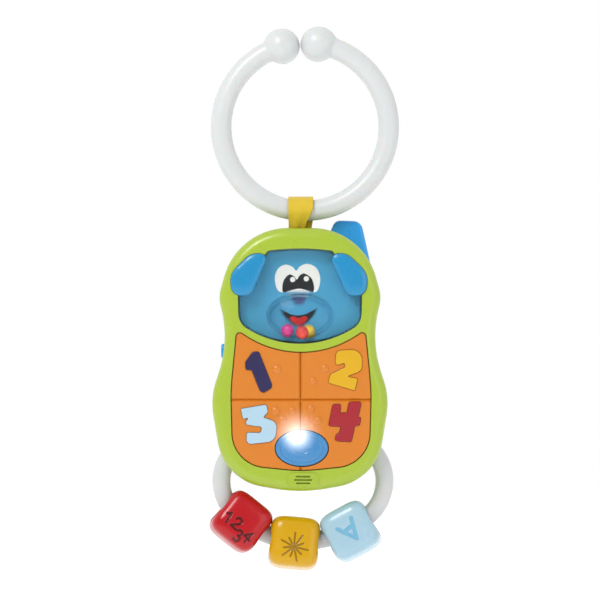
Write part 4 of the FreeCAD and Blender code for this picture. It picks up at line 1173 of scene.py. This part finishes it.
@dataclass
class LightButton:
    """Translucent blue oval button: a low dome with a sunk ring and a raised dot, with a painted glow that
    stands for a lamp lit behind it.
    """

    middle: tuple[float, float] = (0.7, -34.5)
    long_half: float = 10.4
    short_half: float = 7.1
    back: float = 8.2
    rim: float = 12.2
    front: float = 13.9
    # the finish paints a glow on the button, brightest in front of the lamp behind it
    finish: PaintedGlowPlastic = PaintedGlowPlastic(
        "button_clear_blue_abs_painted_glow", "#3D83B9", "#3F87BE",
        ((PHONE_AXIS - 1.2) * MM, -13.6 * MM, (PHONE_MIDDLE - 29.3) * MM), 9.0, 2.6, roughness=0.22,
        subsurface=0.3)

    def shape(self) -> Patch:
        """A pillow on the oval whose crown carries a ring ridge, a Gaussian of the distance to it."""
        loop = oval_loop(self.middle, self.long_half, self.short_half, 200)
        patch = pillow(loop, self.back, self.rim, self.front, power=2.6, rings=60, middle=self.middle)
        across = patch.points[:, 0] / MM - PHONE_AXIS - self.middle[0]
        up = patch.points[:, 2] / MM - PHONE_MIDDLE - self.middle[1]
        on_top = -patch.points[:, 1] / MM > self.rim - 0.01
        share = np.hypot(across / self.long_half, up / self.short_half)
        ridge = 0.28 * np.exp(-((share - 0.34) / 0.045) ** 2) - 0.22 * np.exp(-((share - 0.78) / 0.04) ** 2)
        patch.points[:, 1] -= np.where(on_top, ridge, 0.0) * MM
        return patch

    def build(self) -> None:
        """Builds the button in place of its CAD solid."""
        piece = make_piece("domed_light_button", self.shape(), self.finish.build())
        mounted(piece, "light_button", "button_blue", "light_button")


# ---------------------------------------------------------------- finishes of the CAD pieces

# where the lamp stands, and the centre of the painted glow on the lower keys
LAMP_PLACE = ((PHONE_AXIS - 1.2) * MM, -13.2 * MM, (PHONE_MIDDLE - 29.3) * MM)


@dataclass
class CarriedPieces:
    """The CAD pieces that stay as they are, each with the finish of what it is made of."""

    green: MouldedPlastic = MouldedPlastic(
        "cover_abs", "#9CB32C", "#9EB52D", roughness=0.32, subsurface=0.12, coat=0.1)
    white: MouldedPlastic = MouldedPlastic(
        "handle_polypropylene", "#C6C8C8", "#C3C5C5", roughness=0.34, peel_depth=0.008, subsurface=0.25)
    blue: MouldedPlastic = MouldedPlastic("antenna_abs", "#1B91D8", "#1C95DE", roughness=0.28, coat=0.15)
    plate: MouldedPlastic = MouldedPlastic(
        "face_plate_abs", "#3E9BC6", "#4AA3CB", roughness=0.4, peel_depth=0.006, subsurface=0.05)
    upper_keys: MouldedPlastic = MouldedPlastic(
        "key_abs", "#CB7618", "#D07919", roughness=0.34, subsurface=0.12, coat=0.1)
    # the lower keys carry a painted glow, centred on the lamp behind them
    lower_keys: PaintedGlowPlastic = PaintedGlowPlastic(
        "key_abs_painted_glow", "#CB7618", "#D07919", LAMP_PLACE, 12.0, 1.5, roughness=0.34)

    def dress(self, finish: bpy.types.Material, *nodes: str) -> None:
        """Puts a finish on CAD pieces in place of their own.

        Args:
            finish: the material.
            nodes: the CAD nodes that get it.
        """
        for node in nodes:
            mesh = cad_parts[node].data
            mesh.materials.clear()
            mesh.materials.append(finish)
            LOG.info("%s is finished with %s", node, finish.name)

    def build(self) -> None:
        """Dresses every CAD piece that shows."""
        self.dress(self.green.build(), "front_cover", "rear_cover", "battery_door")
        self.dress(self.white.build(), "handle_ring")
        self.dress(self.blue.build(), "antenna", "side_button")
        self.dress(self.plate.build(), "face_plate")
        self.dress(self.upper_keys.build(), "key_1", "key_2")
        self.dress(self.lower_keys.build(), "key_3", "key_4")
        digits = {
            "digit_1": ("#1F164A", "#20174C"), "digit_2": ("#D0A102", "#D5A502"),
            "digit_3": ("#A6C4D5", "#A8C7D8"), "digit_4": ("#9C1222", "#A01323"),
        }
        for node, (colour, flow) in digits.items():
            self.dress(MouldedPlastic(node + "_abs", colour, flow, roughness=0.3, coat=0.15).build(), node)
        balls = {
            "rattle_ball_pink": ("#D02C86", "#DB3C92"), "rattle_ball_red": ("#DC3A33", "#E2463C"),
            "rattle_ball_yellow": ("#EFC420", "#F2CB35"),
        }
        for node, (colour, flow) in balls.items():
            self.dress(MouldedPlastic(node + "_pp", colour, flow, roughness=0.24, flow=4.0).build(), node)
        steel = PlatedSteel("plated_steel", "#B9BBBE")
        self.dress(steel.build(), "strap_pin", "shell_screws", "door_screw")
        nickel = PlatedSteel("nickel_contact", "#C9C3B4", roughness=0.22)
        self.dress(nickel.build(), "battery_contacts", "contact_springs")
        inner = {
            "keypad_membrane": ("#9A9C9E", "#A4A6A8"), "circuit_board": ("#1E6A3C", "#25784A"),
            "lamp": ("#E8E9EC", "#F2F3F5"), "speaker": ("#202124", "#2A2B2E"),
            "batteries": ("#2B4FA0", "#3358AC"),
            "side_switch": ("#26272A", "#303134"), "battery_leads": ("#A3221D", "#B02B24"),
            "speaker_leads": ("#1C1D20", "#27282B"),
        }
        for node, (colour, flow) in inner.items():
            self.dress(MouldedPlastic(node + "_finish", colour, flow, roughness=0.45, flow=5.0).build(), node)


# ---------------------------------------------------------------- studio

@dataclass
class Studio:
    """White studio: a camera level with the toy, a pale floor far below and soft lamps in front."""

    view_middle: tuple[float, float] = (-0.002, -0.0692)
    distance: float = 0.75
    view_side: float = 0.24
    sensor: float = 36.0
    floor_drop: float = -0.45
    sky: float = 1.0
    front_sky: float = 0.5

    def camera(self) -> None:
        """Places the camera so that the square view is `view_side` wide at the toy's middle plane."""
        data = bpy.data.cameras.new("camera")
        data.sensor_width = self.sensor
        data.lens = self.sensor * self.distance / self.view_side
        data.clip_start, data.clip_end = 0.05, 20.0
        camera = bpy.data.objects.new("camera", data)
        camera.location = (self.view_middle[0], -self.distance, self.view_middle[1])
        camera.rotation_euler = (math.pi / 2, 0.0, 0.0)
        bpy.context.scene.collection.objects.link(camera)
        bpy.context.scene.camera = camera

    def lamp(self, name: str, place: tuple[float, float, float], size: float, power: float) -> None:
        """Adds a square soft lamp that looks at the toy.

        Args:
            name: the lamp's name.
            place: where it stands.
            size: its side.
            power: its power in watts.
        """
        data = bpy.data.lights.new(name, "AREA")
        data.shape, data.size, data.energy = "SQUARE", size, power
        lamp = bpy.data.objects.new(name, data)
        lamp.location = place
        target = np.array([self.view_middle[0], 0.0, self.view_middle[1]])
        away = np.array(place) - target
        lamp.rotation_euler = (math.acos(away[2] / np.linalg.norm(away)), 0.0,
                               math.atan2(away[1], away[0]) + math.pi / 2)
        bpy.context.scene.collection.objects.link(lamp)

    def surroundings(self) -> None:
        """Lays the floor in a white world that is dimmer in front of the toy, behind the camera."""
        world = bpy.data.worlds.new("white_room")
        world.use_nodes = True
        tree = world.node_tree
        tree.nodes.clear()
        looking = add_node(tree, "TexCoord").outputs["Generated"]
        ahead = add_node(tree, "VectorMath", {"operation": "DOT_PRODUCT", 1: (0.0, -1.0, 0.0)}, {0: looking})
        light = add_node(tree, "MapRange",
                         {"interpolation_type": "SMOOTHSTEP", "From Min": -0.15, "From Max": 0.85,
                          "To Min": self.sky, "To Max": self.front_sky},
                         {"Value": ahead.outputs["Value"]})
        sky = add_node(tree, "Background", {"Color": (1.0, 1.0, 1.0, 1.0)},
                       {"Strength": light.outputs["Result"]})
        add_node(tree, "OutputWorld", links={"Surface": sky.outputs[0]})
        bpy.context.scene.world = world
        material, tree = empty_material("floor_paper")
        place = add_node(tree, "TexCoord").outputs["Object"]
        grain = add_node(tree, "TexNoise", {"Scale": 400.0, "Detail": 2.0}, {"Vector": place})
        relief = add_node(tree, "Bump", {"Strength": 0.1, "Distance": 0.05 * MM},
                          {"Height": grain.outputs["Fac"]})
        surface_output(tree, add_node(
            tree, "BsdfPrincipled", {"Base Color": linear("#FAFAFA"), "Roughness": 0.9,
                                     "Emission Color": (1.0, 1.0, 1.0, 1.0), "Emission Strength": 0.3},
            {"Normal": relief.outputs["Normal"]}))
        side = np.linspace(-3.0, 3.0, 9)
        across, deep = np.meshgrid(side, side)
        flat = np.stack([across, deep, 0 * across + self.floor_drop], axis=-1)
        floor = make_piece("floor", grid(flat), material)

    def build(self) -> None:
        """Sets up the camera, the lamps, the world and the view transform."""
        self.camera()
        self.surroundings()
        self.lamp("key_lamp", (-0.35, -0.6, 0.5), 0.32, 4.2)
        self.lamp("fill_lamp", (0.6, -0.7, 0.05), 0.5, 1.0)
        scene = bpy.context.scene
        scene.view_settings.view_transform = "Standard"
        scene.view_settings.look = "None"


def build_toy() -> None:
    """Builds every sub-assembly in order."""
    Studio().build()
    CarriedPieces().build()
    HangingRing().build()
    RibbonStrap().build()
    PuppyEars().build()
    PrintedFace().build()
    ClearWindow().build()
    LightButton().build()
    # each bead's third colour is the painted shade in its sunk marks
    red = EngravedPlastic("bead_red_abs", "#AE0814", "#B40C18", "#5E040C")
    yellow = EngravedPlastic("bead_yellow_abs", "#C89903", "#CD9D03", "#94700A")
    blue = EngravedPlastic("bead_blue_abs", "#9DBDCD", "#9FC0D0", "#74AFCB")
    Bead("numbers_bead", "bead_red", "red_bead", -38.6, red, Marking.NUMBERS).build()
    Bead("sunburst_bead", "bead_yellow", "yellow_bead", -5.1, yellow, Marking.SUNBURST).build()
    Bead("letter_bead", "bead_blue", "blue_bead", 28.6, blue, Marking.LETTER).build()


def main() -> None:
    """Builds the toy."""
    logging.basicConfig(level=logging.INFO, format="%(name)s: %(message)s")
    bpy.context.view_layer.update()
    build_toy()


if __name__ == "__main__":
    main()
